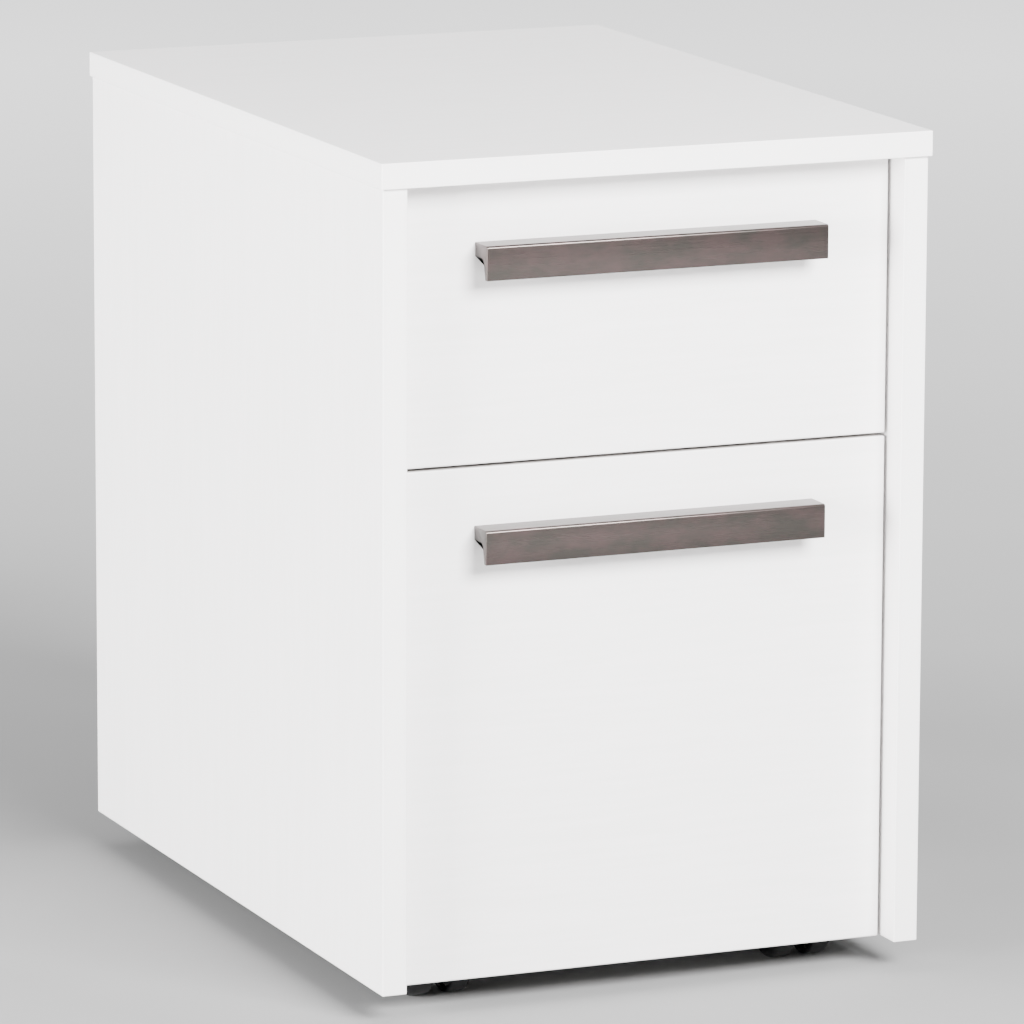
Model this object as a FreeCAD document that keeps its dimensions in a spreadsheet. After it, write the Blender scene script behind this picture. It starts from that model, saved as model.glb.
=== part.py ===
import FreeCAD, Part
import os
import Sketcher

# Mobile drawer pedestal: a melamine-faced board carcass on four twin-wheel castors, with a box drawer over
# a file drawer, each on a pair of three-piece ball-bearing runners, and each with a bar handle.
# Frame: millimetres, +X to the right, +Y to the back, +Z up, the drawers open towards -Y. The origin is on
# the floor, under the middle of the whole object's box.

VECTOR = FreeCAD.Vector

SIZES = (
    ("board", 18.0, "thickness of the carcass boards and the drawer fronts"),
    ("cabinet_width", 408.0, "across the outer faces of the side panels"),
    ("cabinet_depth", 578.0, "front to back edge of a side panel"),
    ("cabinet_height", 580.0, "lower edge of a side panel to the upper face of the top"),
    ("floor_gap", 21.0, "floor to the lower edges of the side panels"),
    ("overhang_side", 2.0, "top panel past a side panel"),
    ("overhang_front", 3.0, "top panel past the side panels' front edges"),
    ("overhang_back", 1.0, "top panel past the side panels' back edges"),
    ("edge_radius", 0.7, "rounding of the carcass board edges"),
    ("front_radius", 1.2, "rounding of the drawer fronts' edge bands"),
    ("front_recess", 20.8, "drawer front's face behind the side panels' front edges"),
    ("gap_side", 2.5, "drawer front to side panel"),
    ("gap_between", 2.4, "lower drawer front to upper drawer front"),
    ("gap_top", 3.0, "upper drawer front to top panel"),
    ("gap_floor_board", 2.0, "drawer front's back to the bottom panel and the runners"),
    ("lower_front_share", 0.65, "lower drawer front's share of the height of both fronts"),
    ("handle_length", 256.0, "length of a handle bar"),
    ("handle_height", 24.0, "height of a handle's front lip"),
    ("handle_projection", 21.5, "handle's face from the drawer front"),
    ("handle_web", 10.0, "height of a handle's top web at the drawer front"),
    ("lip_upper", 7.0, "thickness of the handle's lip under the web"),
    ("lip_lower", 3.6, "thickness of the handle's lip at its lower edge"),
    ("handle_radius", 1.8, "rounding of the handle's upper front edge"),
    ("handle_drop", 40.5, "drawer front's upper edge down to the handle"),
    ("handle_screw_inset", 16.0, "handle's end to its screw"),
    ("box_board", 15.0, "thickness of the drawer box boards"),
    ("base_board", 5.0, "thickness of a drawer base"),
    ("groove_depth", 6.0, "depth of the groove that holds a drawer base"),
    ("groove_rise", 10.0, "box's lower edge to the groove"),
    ("base_play", 0.4, "drawer base's clearance at the groove's bottom and over the base"),
    ("lower_box_lift", 6.0, "bottom panel to the lower drawer box"),
    ("lower_box_drop", 30.0, "lower front's upper edge down to the box's"),
    ("upper_box_lift", 10.0, "upper front's lower edge up to the box's"),
    ("upper_box_drop", 58.0, "upper front's upper edge down to the box's"),
    ("runner_thickness", 12.7, "cabinet side to drawer box side"),
    ("runner_sheet", 1.2, "steel thickness of a runner member"),
    ("runner_rear_gap", 19.2, "runner's back end to the back panel"),
    ("cabinet_member_height", 45.0, "height of the runner member on the cabinet"),
    ("middle_member_height", 34.0, "height of the runner's middle member"),
    ("drawer_member_height", 22.0, "height of the runner member on the drawer"),
    ("member_clearance", 3.0, "cabinet side to the middle member's web"),
    ("member_lip", 3.0, "turned-in lip of the cabinet member"),
    ("member_setback", 2.3, "cabinet and middle members' edges short of the drawer side"),
    ("member_play", 1.0, "middle member's web to the drawer member's flanges"),
    ("upper_runner_rise", 50.0, "upper box's lower edge to its runners' centre line"),
    ("lower_runner_rise", 95.0, "lower box's lower edge to its runners' centre line"),
    ("runner_screw_inset", 60.0, "runner's ends to its first and last screws"),
    ("rail_thickness", 1.5, "thickness of a hanging-file rail"),
    ("rail_rib", 6.0, "height of the hanging-file rail's rib"),
    ("rail_leg", 8.0, "hanging-file rail's leg down the box side"),
    ("rail_inset", 12.0, "hanging-file rail's ends to the box's inner ends"),
    ("wheel_diameter", 50.0, "castor wheel"),
    ("wheel_width", 19.0, "one wheel of a castor, at its hub"),
    ("wheel_crown", 6.0, "how far a wheel's outer face domes out"),
    ("wheel_shoulder", 3.5, "rounding of a wheel's tread at the outer side"),
    ("wheel_bore_depth", 12.0, "depth of the wheel's axle hole"),
    ("hub_gap", 14.5, "between the two wheels of a castor"),
    ("web_width", 13.0, "castor body between the wheels"),
    ("boss_radius", 8.5, "castor body round the axle"),
    ("castor_trail", 15.0, "swivel axis to axle"),
    ("hood_width", 46.0, "castor hood across the wheels"),
    ("hood_wall", 2.5, "thickness of the castor hood"),
    ("hood_clearance", 1.0, "wheel to hood"),
    ("hood_lift", 3.0, "axle to the hood's lower edge"),
    ("hood_open_angle", 35.0, "part of the hood left open at the back, in degrees"),
    ("collar_diameter", 22.0, "castor's swivel collar"),
    ("collar_rise", 6.6, "hood's crown to the collar's upper face"),
    ("swivel_gap", 0.4, "collar to the mounting plate"),
    ("plate_thickness", 2.5, "castor mounting plate"),
    ("plate_side", 42.0, "side of the square mounting plate"),
    ("plate_radius", 4.2, "rounding of the mounting plate's corners"),
    ("plate_hole_pitch", 32.0, "between the plate's holes"),
    ("stem_diameter", 8.0, "castor's swivel pin"),
    ("stem_length", 24.0, "castor's swivel pin below the plate"),
    ("stem_play", 0.6, "swivel hole past its pin's end"),
    ("axle_diameter", 6.0, "castor axle"),
    ("axle_play", 1.0, "axle's end short of the wheel hole's end"),
    ("castor_clearance", 2.3, "castor's swivel circle to the boards round it"),
    ("cam_diameter", 15.0, "cam lock"),
    ("cam_depth", 12.0, "cam lock's length"),
    ("cam_cap", 3.4, "cam lock's face to the slot for its bolt"),
    ("cam_recess", 10.0, "length of a cam lock's cross recess"),
    ("cam_recess_width", 1.8, "width of a cam lock's cross recess"),
    ("cam_recess_depth", 2.0, "depth of a cam lock's cross recess"),
    ("cam_distance", 24.0, "cam lock's centre to the joint face"),
    ("cam_setback", 60.0, "carcass joint's ends to its cam locks"),
    ("box_cam_setback", 30.0, "drawer box's upper edge to its upper cam locks"),
    ("box_cam_rise", 21.0, "drawer base's groove to the lower cam locks"),
    ("bolt_tip", 2.0, "connecting bolt's head past its cam lock's centre"),
    ("bolt_head", 5.0, "length of the connecting bolt's head"),
    ("bolt_thread", 11.0, "connecting bolt's thread in the face board"),
    ("bolt_thread_diameter", 6.0, "connecting bolt's thread"),
    ("bolt_shank_diameter", 5.0, "connecting bolt's shank"),
    ("bolt_head_diameter", 7.0, "connecting bolt's head"),
    ("dowel_diameter", 8.0, "wood dowel"),
    ("dowel_face", 10.0, "dowel's length in the face board"),
    ("dowel_edge", 20.0, "dowel's length in the edge board"),
    ("dowel_step", 32.0, "cam lock to dowel along the joint"),
    ("screw_diameter", 4.0, "shank of every screw"),
    ("screw_head_diameter", 7.6, "head of every screw"),
    ("screw_head", 1.4, "height of a runner or castor screw's head"),
    ("runner_screw_length", 11.0, "runner screw under its head"),
    ("castor_screw_length", 15.0, "castor screw under its head"),
    ("handle_screw_bite", 8.0, "handle screw's length inside the handle"),
    ("handle_screw_play", 0.5, "handle's screw hole past its screw's end"),
    ("screw_recess", 3.8, "length of a screw head's cross recess"),
    ("screw_recess_width", 0.8, "width of a screw head's cross recess"),
    ("fit", 0.05, "radial clearance of a pin, bolt or screw in its hole"),
)

PLACES = (
    ("side_height", "sizes.cabinet_height - sizes.board"),
    ("side_top", "sizes.floor_gap + layout.side_height"),
    ("inner_width", "sizes.cabinet_width - 2 * sizes.board"),
    ("top_width", "sizes.cabinet_width + 2 * sizes.overhang_side"),
    ("top_depth", "sizes.cabinet_depth + sizes.overhang_front + sizes.overhang_back"),
    ("side_front", "sizes.overhang_front - layout.top_depth / 2"),
    ("back_inner", "layout.side_front + sizes.cabinet_depth - sizes.board"),
    ("front_face", "layout.side_front + sizes.front_recess"),
    ("front_back", "layout.front_face + sizes.board"),
    ("front_width", "layout.inner_width - 2 * sizes.gap_side"),
    ("floor_board_front", "layout.front_back + sizes.gap_floor_board"),
    ("hood_radius", "sizes.wheel_diameter / 2 + sizes.hood_clearance + sizes.hood_wall"),
    ("collar_top", "sizes.wheel_diameter / 2 + layout.hood_radius + sizes.collar_rise"),
    ("plate_under", "layout.collar_top + sizes.swivel_gap"),
    ("castor_height", "layout.plate_under + sizes.plate_thickness"),
    ("shoulder_x", "sizes.hub_gap / 2 + sizes.wheel_width - sizes.wheel_crown"),
    ("wheel_reach", "sqrt((sizes.castor_trail + sizes.wheel_diameter / 2) ^ 2 + layout.shoulder_x ^ 2)"),
    ("hood_end", "sizes.castor_trail + layout.hood_radius * cos(sizes.hood_open_angle * 1 deg)"),
    ("hood_reach", "sqrt(layout.hood_end ^ 2 + (sizes.hood_width / 2) ^ 2)"),
    ("castor_reach", "max(layout.wheel_reach; layout.hood_reach) + sizes.castor_clearance"),
    ("castor_x", "layout.inner_width / 2 - layout.castor_reach"),
    ("castor_front", "layout.front_back + layout.castor_reach"),
    ("castor_back", "layout.back_inner - layout.castor_reach"),
    ("floor_board_top", "layout.castor_height + sizes.board"),
    ("floor_setback", "layout.castor_reach + sizes.plate_side / 2 + sizes.cam_diameter"),
    ("box_width", "layout.inner_width - 2 * sizes.runner_thickness"),
    ("box_inner", "layout.box_width - 2 * sizes.box_board"),
    ("runner_length", "layout.back_inner - layout.floor_board_front - sizes.runner_rear_gap"),
    ("runner_screw_step", "layout.runner_length / 2 - sizes.runner_screw_inset"),
    ("drawer_member_base", "sizes.member_clearance + sizes.runner_sheet + sizes.member_play"),
    ("box_length", "layout.runner_length + sizes.gap_floor_board"),
    ("box_back", "layout.front_back + layout.box_length"),
    ("upper_front_top", "layout.side_top - sizes.gap_top"),
    ("fronts_height", "layout.upper_front_top - sizes.floor_gap - sizes.gap_between"),
    ("lower_front_height", "sizes.lower_front_share * layout.fronts_height"),
    ("upper_front_height", "layout.fronts_height - layout.lower_front_height"),
    ("lower_front_bottom", "sizes.floor_gap"),
    ("lower_front_top", "sizes.floor_gap + layout.lower_front_height"),
    ("lower_box_bottom", "layout.floor_board_top + sizes.lower_box_lift"),
    ("lower_box_height", "layout.lower_front_top - sizes.lower_box_drop - layout.lower_box_bottom"),
    ("lower_runner_z", "layout.lower_box_bottom + sizes.lower_runner_rise"),
    ("upper_front_bottom", "layout.lower_front_top + sizes.gap_between"),
    ("upper_box_bottom", "layout.upper_front_bottom + sizes.upper_box_lift"),
    ("upper_box_height", "layout.upper_front_top - sizes.upper_box_drop - layout.upper_box_bottom"),
    ("upper_runner_z", "layout.upper_box_bottom + sizes.upper_runner_rise"),
    ("handle_screw_drop", "sizes.handle_drop + sizes.handle_web / 2"),
    ("handle_screw_x", "sizes.handle_length / 2 - sizes.handle_screw_inset"),
    ("cam_bore", "sizes.cam_diameter + 2 * sizes.fit"),
    ("thread_bore", "sizes.bolt_thread_diameter + 2 * sizes.fit"),
    ("head_bore", "sizes.bolt_head_diameter + 2 * sizes.fit"),
    ("bolt_reach", "sizes.cam_distance + sizes.bolt_tip + sizes.fit"),
    ("dowel_bore", "sizes.dowel_diameter + 2 * sizes.fit"),
    ("screw_bore", "sizes.screw_diameter + 2 * sizes.fit"),
    ("groove_width", "sizes.base_board + sizes.base_play"),
)

SIDES = (("left", -1), ("right", 1))
DRAWERS = ("upper", "lower")
UPWARD = FreeCAD.Rotation(VECTOR(0, 0, 1), 0)
DOWNWARD = FreeCAD.Rotation(VECTOR(0, 1, 0), 180)
TO_RIGHT = FreeCAD.Rotation(VECTOR(0, 1, 0), 90)
TO_LEFT = FreeCAD.Rotation(VECTOR(0, 1, 0), -90)
TO_BACK = FreeCAD.Rotation(VECTOR(1, 0, 0), -90)
HALF_TURN = FreeCAD.Rotation(VECTOR(0, 0, 1), 180)
PLANE_NORMAL = {"XY_Plane": 1, "XZ_Plane": -1, "YZ_Plane": 1}
CUTS = ("PartDesign::Pocket", "PartDesign::Groove", "PartDesign::Hole")


def make_sheet(doc):
    """The driving dimensions: name, value in mm and meaning in one row each."""
    sheet = doc.addObject("Spreadsheet::Sheet", "sizes")
    for row, (name, value, meaning) in enumerate(SIZES, start=1):
        sheet.set(f"A{row}", name)
        sheet.set(f"B{row}", str(value))
        sheet.set(f"C{row}", meaning)
        sheet.setAlias(f"B{row}", name)
    doc.recompute()
    return sheet


def make_layout(doc):
    """The places that follow from the driving dimensions, each bound to them by its formula."""
    layout = doc.addObject("App::VarSet", "layout")
    for name, formula in PLACES:
        layout.addProperty("App::PropertyFloat", name, "Places")
        layout.setExpression(name, formula)
        doc.recompute()
    return layout


def place(item, x, y, z, turn=UPWARD):
    """Puts an object at a point given by three formulas, turned by a fixed rotation."""
    item.Placement = FreeCAD.Placement(VECTOR(0, 0, 0), turn)
    for axis, formula in (("x", x), ("y", y), ("z", z)):
        item.setExpression(f"Placement.Base.{axis}", formula)


def new_body(doc, name):
    """An empty PartDesign body whose label is the sub-part's name."""
    body = doc.addObject("PartDesign::Body", name)
    body.Label = name
    return body


def new_sketch(body, role, level="0"):
    """A sketch on one of the body's own origin planes, moved along the plane's axis by a formula."""
    base = [item for item in body.Origin.OriginFeatures if item.Role == role][0]
    sketch = body.newObject("Sketcher::SketchObject", f"{body.Name}_outline")
    sketch.AttachmentSupport = (base, [""])
    sketch.MapMode = "FlatFace"
    sign = "-" if PLANE_NORMAL[role] < 0 else ""
    sketch.setExpression("AttachmentOffset.Base.z", f"{sign}({level})")
    return sketch


def bind(sketch, kind, name, geometry, corner, formula):
    """One driven distance of a sketch point from the sketch's origin."""
    value = float(sketch.evalExpression(formula))
    index = sketch.addConstraint(Sketcher.Constraint(kind, -1, 1, geometry, corner, value))
    sketch.renameConstraint(index, name)
    sketch.setExpression(f"Constraints.{name}", formula)


def add_outline(sketch, corners):
    """A closed outline of straight edges through corners given as pairs of formulas."""
    first = sketch.GeometryCount
    count = len(corners)
    points = [VECTOR(sketch.evalExpression(u), sketch.evalExpression(v), 0) for u, v in corners]
    for index, point in enumerate(points):
        sketch.addGeometry(Part.LineSegment(point, points[(index + 1) % count]))
    for index in range(count):
        follower = first + (index + 1) % count
        sketch.addConstraint(Sketcher.Constraint("Coincident", first + index, 2, follower, 1))
    for index, (u, v) in enumerate(corners):
        bind(sketch, "DistanceX", f"u{first + index}", first + index, 1, u)
        bind(sketch, "DistanceY", f"v{first + index}", first + index, 1, v)


def add_arc(sketch, centre, start, end):
    """An arc round a centre, anticlockwise from start to end."""
    circle = Part.Circle(centre, VECTOR(0, 0, 1), centre.distanceToPoint(start))
    return sketch.addGeometry(Part.ArcOfCircle(circle, circle.parameter(start), circle.parameter(end)))


def add_circle(sketch, u, v, diameter):
    """A circle whose centre and diameter are formulas."""
    centre = VECTOR(sketch.evalExpression(u), sketch.evalExpression(v), 0)
    size = float(sketch.evalExpression(diameter))
    item = sketch.addGeometry(Part.Circle(centre, VECTOR(0, 0, 1), size / 2))
    bind(sketch, "DistanceX", f"u{item}", item, 3, u)
    bind(sketch, "DistanceY", f"v{item}", item, 3, v)
    index = sketch.addConstraint(Sketcher.Constraint("Diameter", item, size))
    sketch.renameConstraint(index, f"d{item}")
    sketch.setExpression(f"Constraints.d{item}", diameter)


def rectangle(u0, v0, u1, v1):
    """The four corners of a rectangle."""
    return ((u0, v0), (u1, v0), (u1, v1), (u0, v1))


def cross(reach, half):
    """The two crossed bars of a driver's recess, each centred on the sketch's origin."""
    return (rectangle(f"-{reach}", f"-{half}", reach, half), rectangle(f"-{half}", f"-{reach}", half, reach))


def add_pad(body, sketch, role, length, way=1, middle=False):
    """Pads a sketch along the plane's axis, or against it where way is -1, or to both sides of it."""
    pad = body.newObject("PartDesign::Pad", f"{body.Name}_pad")
    pad.Profile = sketch
    pad.setExpression("Length", length)
    if middle:
        pad.SideType = "Symmetric"
    else:
        pad.Reversed = way * PLANE_NORMAL[role] < 0
    return pad


def add_pocket(body, sketch, role, length, way=1, middle=False):
    """Cuts a sketch along the plane's axis, or against it where way is -1, or to both sides of it."""
    pocket = body.newObject("PartDesign::Pocket", f"{body.Name}_pocket")
    pocket.Profile = sketch
    pocket.setExpression("Length", length)
    if middle:
        pocket.SideType = "Symmetric"
    else:
        pocket.Reversed = way * PLANE_NORMAL[role] > 0
    return pocket


def revolve(body, sketch, axis="H_Axis"):
    """Turns a sketch once round its own horizontal axis, or round its V_Axis."""
    turned = body.newObject("PartDesign::Revolution", f"{body.Name}_turned")
    turned.Profile = sketch
    turned.ReferenceAxis = (sketch, [axis])
    turned.Angle = 360
    return turned


def prism(doc, name, role, corners, length, way=1):
    """A body with one straight-edged outline carried along an axis."""
    body = new_body(doc, name)
    sketch = new_sketch(body, role)
    add_outline(sketch, corners)
    add_pad(body, sketch, role, length, way)
    return body


def box_body(doc, name, width, depth, height):
    """A plain board, its lowest corner at the body's origin."""
    return prism(doc, name, "XY_Plane", rectangle("0", "0", width, depth), height)


def drill(body, role, level, spots, diameter, depth, way=1):
    """Equal round holes from the plane at a level, one at each pair of formulas."""
    sketch = new_sketch(body, role, level)
    for u, v in spots:
        add_circle(sketch, u, v, diameter)
    add_pocket(body, sketch, role, depth, way)


def mill(body, role, level, corners, depth, way=1):
    """A straight-edged recess from the plane at a level."""
    sketch = new_sketch(body, role, level)
    add_outline(sketch, corners)
    add_pocket(body, sketch, role, depth, way)


def round_edges(doc, body, radius, wanted=None):
    """Rounds every edge of the body's latest shape, or those whose middle passes the test."""
    doc.recompute()
    base = body.Tip
    names = []
    for index, edge in enumerate(base.Shape.Edges, start=1):
        middle = edge.CenterOfMass
        if wanted is None or wanted(middle, base.Shape.BoundBox, edge):
            names.append(f"Edge{index}")
    fillet = body.newObject("PartDesign::Fillet", f"{body.Name}_rounding")
    fillet.Base = (base, names)
    fillet.setExpression("Radius", radius)
    return fillet


def scatter(doc, name, master, spots):
    """One sub-part of equal separate pieces: links to a master at (x, y, z, rotation)."""
    links = []
    for index, (x, y, z, turn) in enumerate(spots, start=1):
        link = doc.addObject("App::Link", f"{name}_{index}")
        link.LinkedObject = master
        link.LinkPlacement = FreeCAD.Placement(VECTOR(0, 0, 0), turn)
        for axis, formula in (("x", x), ("y", y), ("z", z)):
            link.setExpression(f"LinkPlacement.Base.{axis}", formula)
        links.append(link)
    group = doc.addObject("Part::Compound", name)
    group.Label = name
    group.Links = links
    return group


# ---- the lines along which boards are joined ----


def joint_spots(low, high, setback, shift="0"):
    """Two places along a joint, each a setback from an end and then shifted inwards."""
    return (f"{low} + {setback} + {shift}", f"{high} - {setback} - {shift}")


SIDE_END = "sizes.cabinet_depth"
TOP_JOINT = joint_spots("0", SIDE_END, "sizes.cam_setback")
TOP_DOWELS = joint_spots("0", SIDE_END, "sizes.cam_setback", "sizes.dowel_step")
FLOOR_LOW = "layout.floor_board_front - layout.side_front"
FLOOR_HIGH = "layout.back_inner - layout.side_front"
FLOOR_JOINT = joint_spots(FLOOR_LOW, FLOOR_HIGH, "layout.floor_setback")
FLOOR_DOWELS = joint_spots(FLOOR_LOW, FLOOR_HIGH, "layout.floor_setback", "sizes.dowel_step")
BACK_JOINT = joint_spots("0", "layout.side_height", "2 * sizes.cam_setback")
BACK_DOWELS = joint_spots("0", "layout.side_height", "2 * sizes.cam_setback", "sizes.dowel_step")
BACK_MIDDLE = "sizes.cabinet_depth - sizes.board / 2"
FLOOR_MIDDLE = "layout.castor_height + sizes.board / 2 - sizes.floor_gap"


def runner_screw_offsets():
    """Distances of a runner's screws from its front end."""
    return [f"sizes.runner_screw_inset + {step} * layout.runner_screw_step" for step in range(3)]


def box_joint_heights(drawer):
    """Heights of a drawer box's cam locks above its lower edge."""
    low = "sizes.groove_rise + layout.groove_width + sizes.box_cam_rise"
    return (low, f"layout.{drawer}_box_height - sizes.box_cam_setback")


# ---- carcass ----


def make_top(doc):
    """Top panel, with the threads and dowel holes for the side panels in its underside."""
    body = box_body(doc, "top_panel", "layout.top_width", "layout.top_depth", "sizes.board")
    place(body, "-layout.top_width / 2", "-layout.top_depth / 2", "layout.side_top")
    round_edges(doc, body, "sizes.edge_radius")
    apart = "(sizes.cabinet_width - sizes.board) / 2"
    centres = [f"layout.top_width / 2 + {sign} * {apart}" for _, sign in SIDES]
    bolts = [(x, f"sizes.overhang_front + {y}") for x in centres for y in TOP_JOINT]
    dowels = [(x, f"sizes.overhang_front + {y}") for x in centres for y in TOP_DOWELS]
    drill(body, "XY_Plane", "0", bolts, "layout.thread_bore", "sizes.bolt_thread + sizes.fit")
    drill(body, "XY_Plane", "0", dowels, "layout.dowel_bore", "sizes.dowel_face + sizes.fit")
    return body


def side_edge(middle, box, edge):
    """True for the side panel's edges that show: all but those of its upper end."""
    return middle.z < box.ZMax - box.ZLength / 4


def make_side(doc, side, sign):
    """Side panel, drilled for the top, the bottom, the back, the dowels and the runner screws."""
    body = box_body(doc, f"{side}_side_panel", "sizes.board", SIDE_END, "layout.side_height")
    corner = "-sizes.cabinet_width / 2" if sign < 0 else "sizes.cabinet_width / 2 - sizes.board"
    place(body, corner, "layout.side_front", "sizes.floor_gap")
    round_edges(doc, body, "sizes.edge_radius", side_edge)
    face = "sizes.board" if sign < 0 else "0"
    middle = "sizes.board / 2"
    top = "layout.side_height"
    cams = [(y, f"{top} - sizes.cam_distance") for y in TOP_JOINT]
    drill(body, "YZ_Plane", face, cams, "layout.cam_bore", "sizes.cam_depth + sizes.fit", sign)
    heads = [(middle, y) for y in TOP_JOINT]
    drill(body, "XY_Plane", top, heads, "layout.head_bore", "layout.bolt_reach", -1)
    pegs = [(middle, y) for y in TOP_DOWELS]
    drill(body, "XY_Plane", top, pegs, "layout.dowel_bore", "sizes.dowel_edge + sizes.fit", -1)
    bolts = [(y, FLOOR_MIDDLE) for y in FLOOR_JOINT] + [(BACK_MIDDLE, z) for z in BACK_JOINT]
    drill(body, "YZ_Plane", face, bolts, "layout.thread_bore", "sizes.bolt_thread + sizes.fit", sign)
    dowels = [(y, FLOOR_MIDDLE) for y in FLOOR_DOWELS] + [(BACK_MIDDLE, z) for z in BACK_DOWELS]
    drill(body, "YZ_Plane", face, dowels, "layout.dowel_bore", "sizes.dowel_face + sizes.fit", sign)
    screws = []
    for drawer in DRAWERS:
        height = f"layout.{drawer}_runner_z - sizes.floor_gap"
        screws += [(f"{FLOOR_LOW} + {y}", height) for y in runner_screw_offsets()]
    reach = "sizes.runner_screw_length - sizes.runner_sheet + sizes.fit"
    drill(body, "YZ_Plane", face, screws, "layout.screw_bore", reach, sign)
    return body


def make_bottom(doc):
    """Bottom panel between the sides, with its cam locks and castor screw holes in its underside."""
    depth = "layout.back_inner - layout.floor_board_front"
    body = box_body(doc, "bottom_panel", "layout.inner_width", depth, "sizes.board")
    place(body, "-layout.inner_width / 2", "layout.floor_board_front", "layout.castor_height")
    across = joint_spots("0", "layout.inner_width", "sizes.cam_distance")
    along = joint_spots("0", depth, "layout.floor_setback")
    dowels = joint_spots("0", depth, "layout.floor_setback", "sizes.dowel_step")
    cams = [(x, y) for x in across for y in along]
    drill(body, "XY_Plane", "0", cams, "layout.cam_bore", "sizes.cam_depth + sizes.fit")
    ends = (("0", 1), ("layout.inner_width", -1))
    for level, way in ends:
        bolts = [(y, "sizes.board / 2") for y in along]
        drill(body, "YZ_Plane", level, bolts, "layout.head_bore", "layout.bolt_reach", way)
        pegs = [(y, "sizes.board / 2") for y in dowels]
        drill(body, "YZ_Plane", level, pegs, "layout.dowel_bore", "sizes.dowel_edge + sizes.fit", way)
    screws = [
        (f"layout.inner_width / 2 + {x}", f"{y} - layout.floor_board_front")
        for x, y in castor_screw_spots()
    ]
    reach = "sizes.castor_screw_length - sizes.plate_thickness + sizes.fit"
    drill(body, "XY_Plane", "0", screws, "layout.screw_bore", reach)
    return body


def make_back(doc):
    """Back panel between the sides, with its cam locks in its inner face."""
    body = box_body(doc, "back_panel", "layout.inner_width", "sizes.board", "layout.side_height")
    place(body, "-layout.inner_width / 2", "layout.back_inner", "sizes.floor_gap")
    across = joint_spots("0", "layout.inner_width", "sizes.cam_distance")
    cams = [(x, z) for x in across for z in BACK_JOINT]
    drill(body, "XZ_Plane", "0", cams, "layout.cam_bore", "sizes.cam_depth + sizes.fit")
    for level, way in (("0", 1), ("layout.inner_width", -1)):
        bolts = [("sizes.board / 2", z) for z in BACK_JOINT]
        drill(body, "YZ_Plane", level, bolts, "layout.head_bore", "layout.bolt_reach", way)
        pegs = [("sizes.board / 2", z) for z in BACK_DOWELS]
        drill(body, "YZ_Plane", level, pegs, "layout.dowel_bore", "sizes.dowel_edge + sizes.fit", way)
    return body


# ---- fasteners ----


def make_bolt(doc):
    """Connecting bolt along +Z: thread below the joint face, shank and head above it."""
    body = new_body(doc, "connecting_bolt")
    sketch = new_sketch(body, "XZ_Plane")
    tip = "sizes.cam_distance + sizes.bolt_tip"
    neck = f"{tip} - sizes.bolt_head"
    add_outline(sketch, (
        ("0", "-sizes.bolt_thread"),
        ("sizes.bolt_thread_diameter / 2", "-sizes.bolt_thread"),
        ("sizes.bolt_thread_diameter / 2", "0"),
        ("sizes.bolt_shank_diameter / 2", "0"),
        ("sizes.bolt_shank_diameter / 2", neck),
        ("sizes.bolt_head_diameter / 2", neck),
        ("sizes.bolt_head_diameter / 2", tip),
        ("0", tip),
    ))
    revolve(body, sketch, "V_Axis")
    return body


def make_cam(doc):
    """Cam lock along -Z from the board's face, slotted towards -X for its bolt, with a cross recess."""
    body = new_body(doc, "cam_lock")
    sketch = new_sketch(body, "XY_Plane")
    add_circle(sketch, "0", "0", "sizes.cam_diameter")
    add_pad(body, sketch, "XY_Plane", "sizes.cam_depth", -1)
    half = "layout.head_bore / 2"
    slot = rectangle("-sizes.cam_diameter", f"-{half}", f"{half} + sizes.bolt_tip / 2", half)
    mill(body, "XY_Plane", "-sizes.cam_depth", slot, "sizes.cam_depth - sizes.cam_cap")
    for corners in cross("sizes.cam_recess / 2", "sizes.cam_recess_width / 2"):
        mill(body, "XY_Plane", "0", corners, "sizes.cam_recess_depth", -1)
    return body


def make_dowel(doc):
    """Wood dowel along +Z through the joint face."""
    body = new_body(doc, "dowel")
    sketch = new_sketch(body, "XY_Plane", "-sizes.dowel_face")
    add_circle(sketch, "0", "0", "sizes.dowel_diameter")
    add_pad(body, sketch, "XY_Plane", "sizes.dowel_face + sizes.dowel_edge")
    return body


def make_screw(doc, name, length):
    """Round-headed screw along -Z, its head above the face it holds, with a cross recess."""
    body = new_body(doc, name)
    shank = new_sketch(body, "XY_Plane")
    add_circle(shank, "0", "0", "sizes.screw_diameter")
    add_pad(body, shank, "XY_Plane", length, -1)
    head = new_sketch(body, "XY_Plane")
    add_circle(head, "0", "0", "sizes.screw_head_diameter")
    add_pad(body, head, "XY_Plane", "sizes.screw_head")
    for corners in cross("sizes.screw_recess / 2", "sizes.screw_recess_width / 2"):
        mill(body, "XY_Plane", "sizes.screw_head", corners, "sizes.screw_head / 2", -1)
    return body


def carcass_joints(spots_top, spots_floor, spots_back):
    """Joint points and directions of the carcass, each turned from the face board into the edge board."""
    joints = []
    for _, sign in SIDES:
        middle = f"{sign} * (sizes.cabinet_width - sizes.board) / 2"
        face = f"{sign} * layout.inner_width / 2"
        inward = TO_RIGHT if sign < 0 else TO_LEFT
        for y in spots_top:
            joints.append((middle, f"layout.side_front + {y}", "layout.side_top", DOWNWARD))
        for y in spots_floor:
            joints.append((face, f"layout.side_front + {y}", f"sizes.floor_gap + {FLOOR_MIDDLE}", inward))
        for z in spots_back:
            joints.append((face, f"layout.side_front + {BACK_MIDDLE}", f"sizes.floor_gap + {z}", inward))
    return joints


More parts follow.
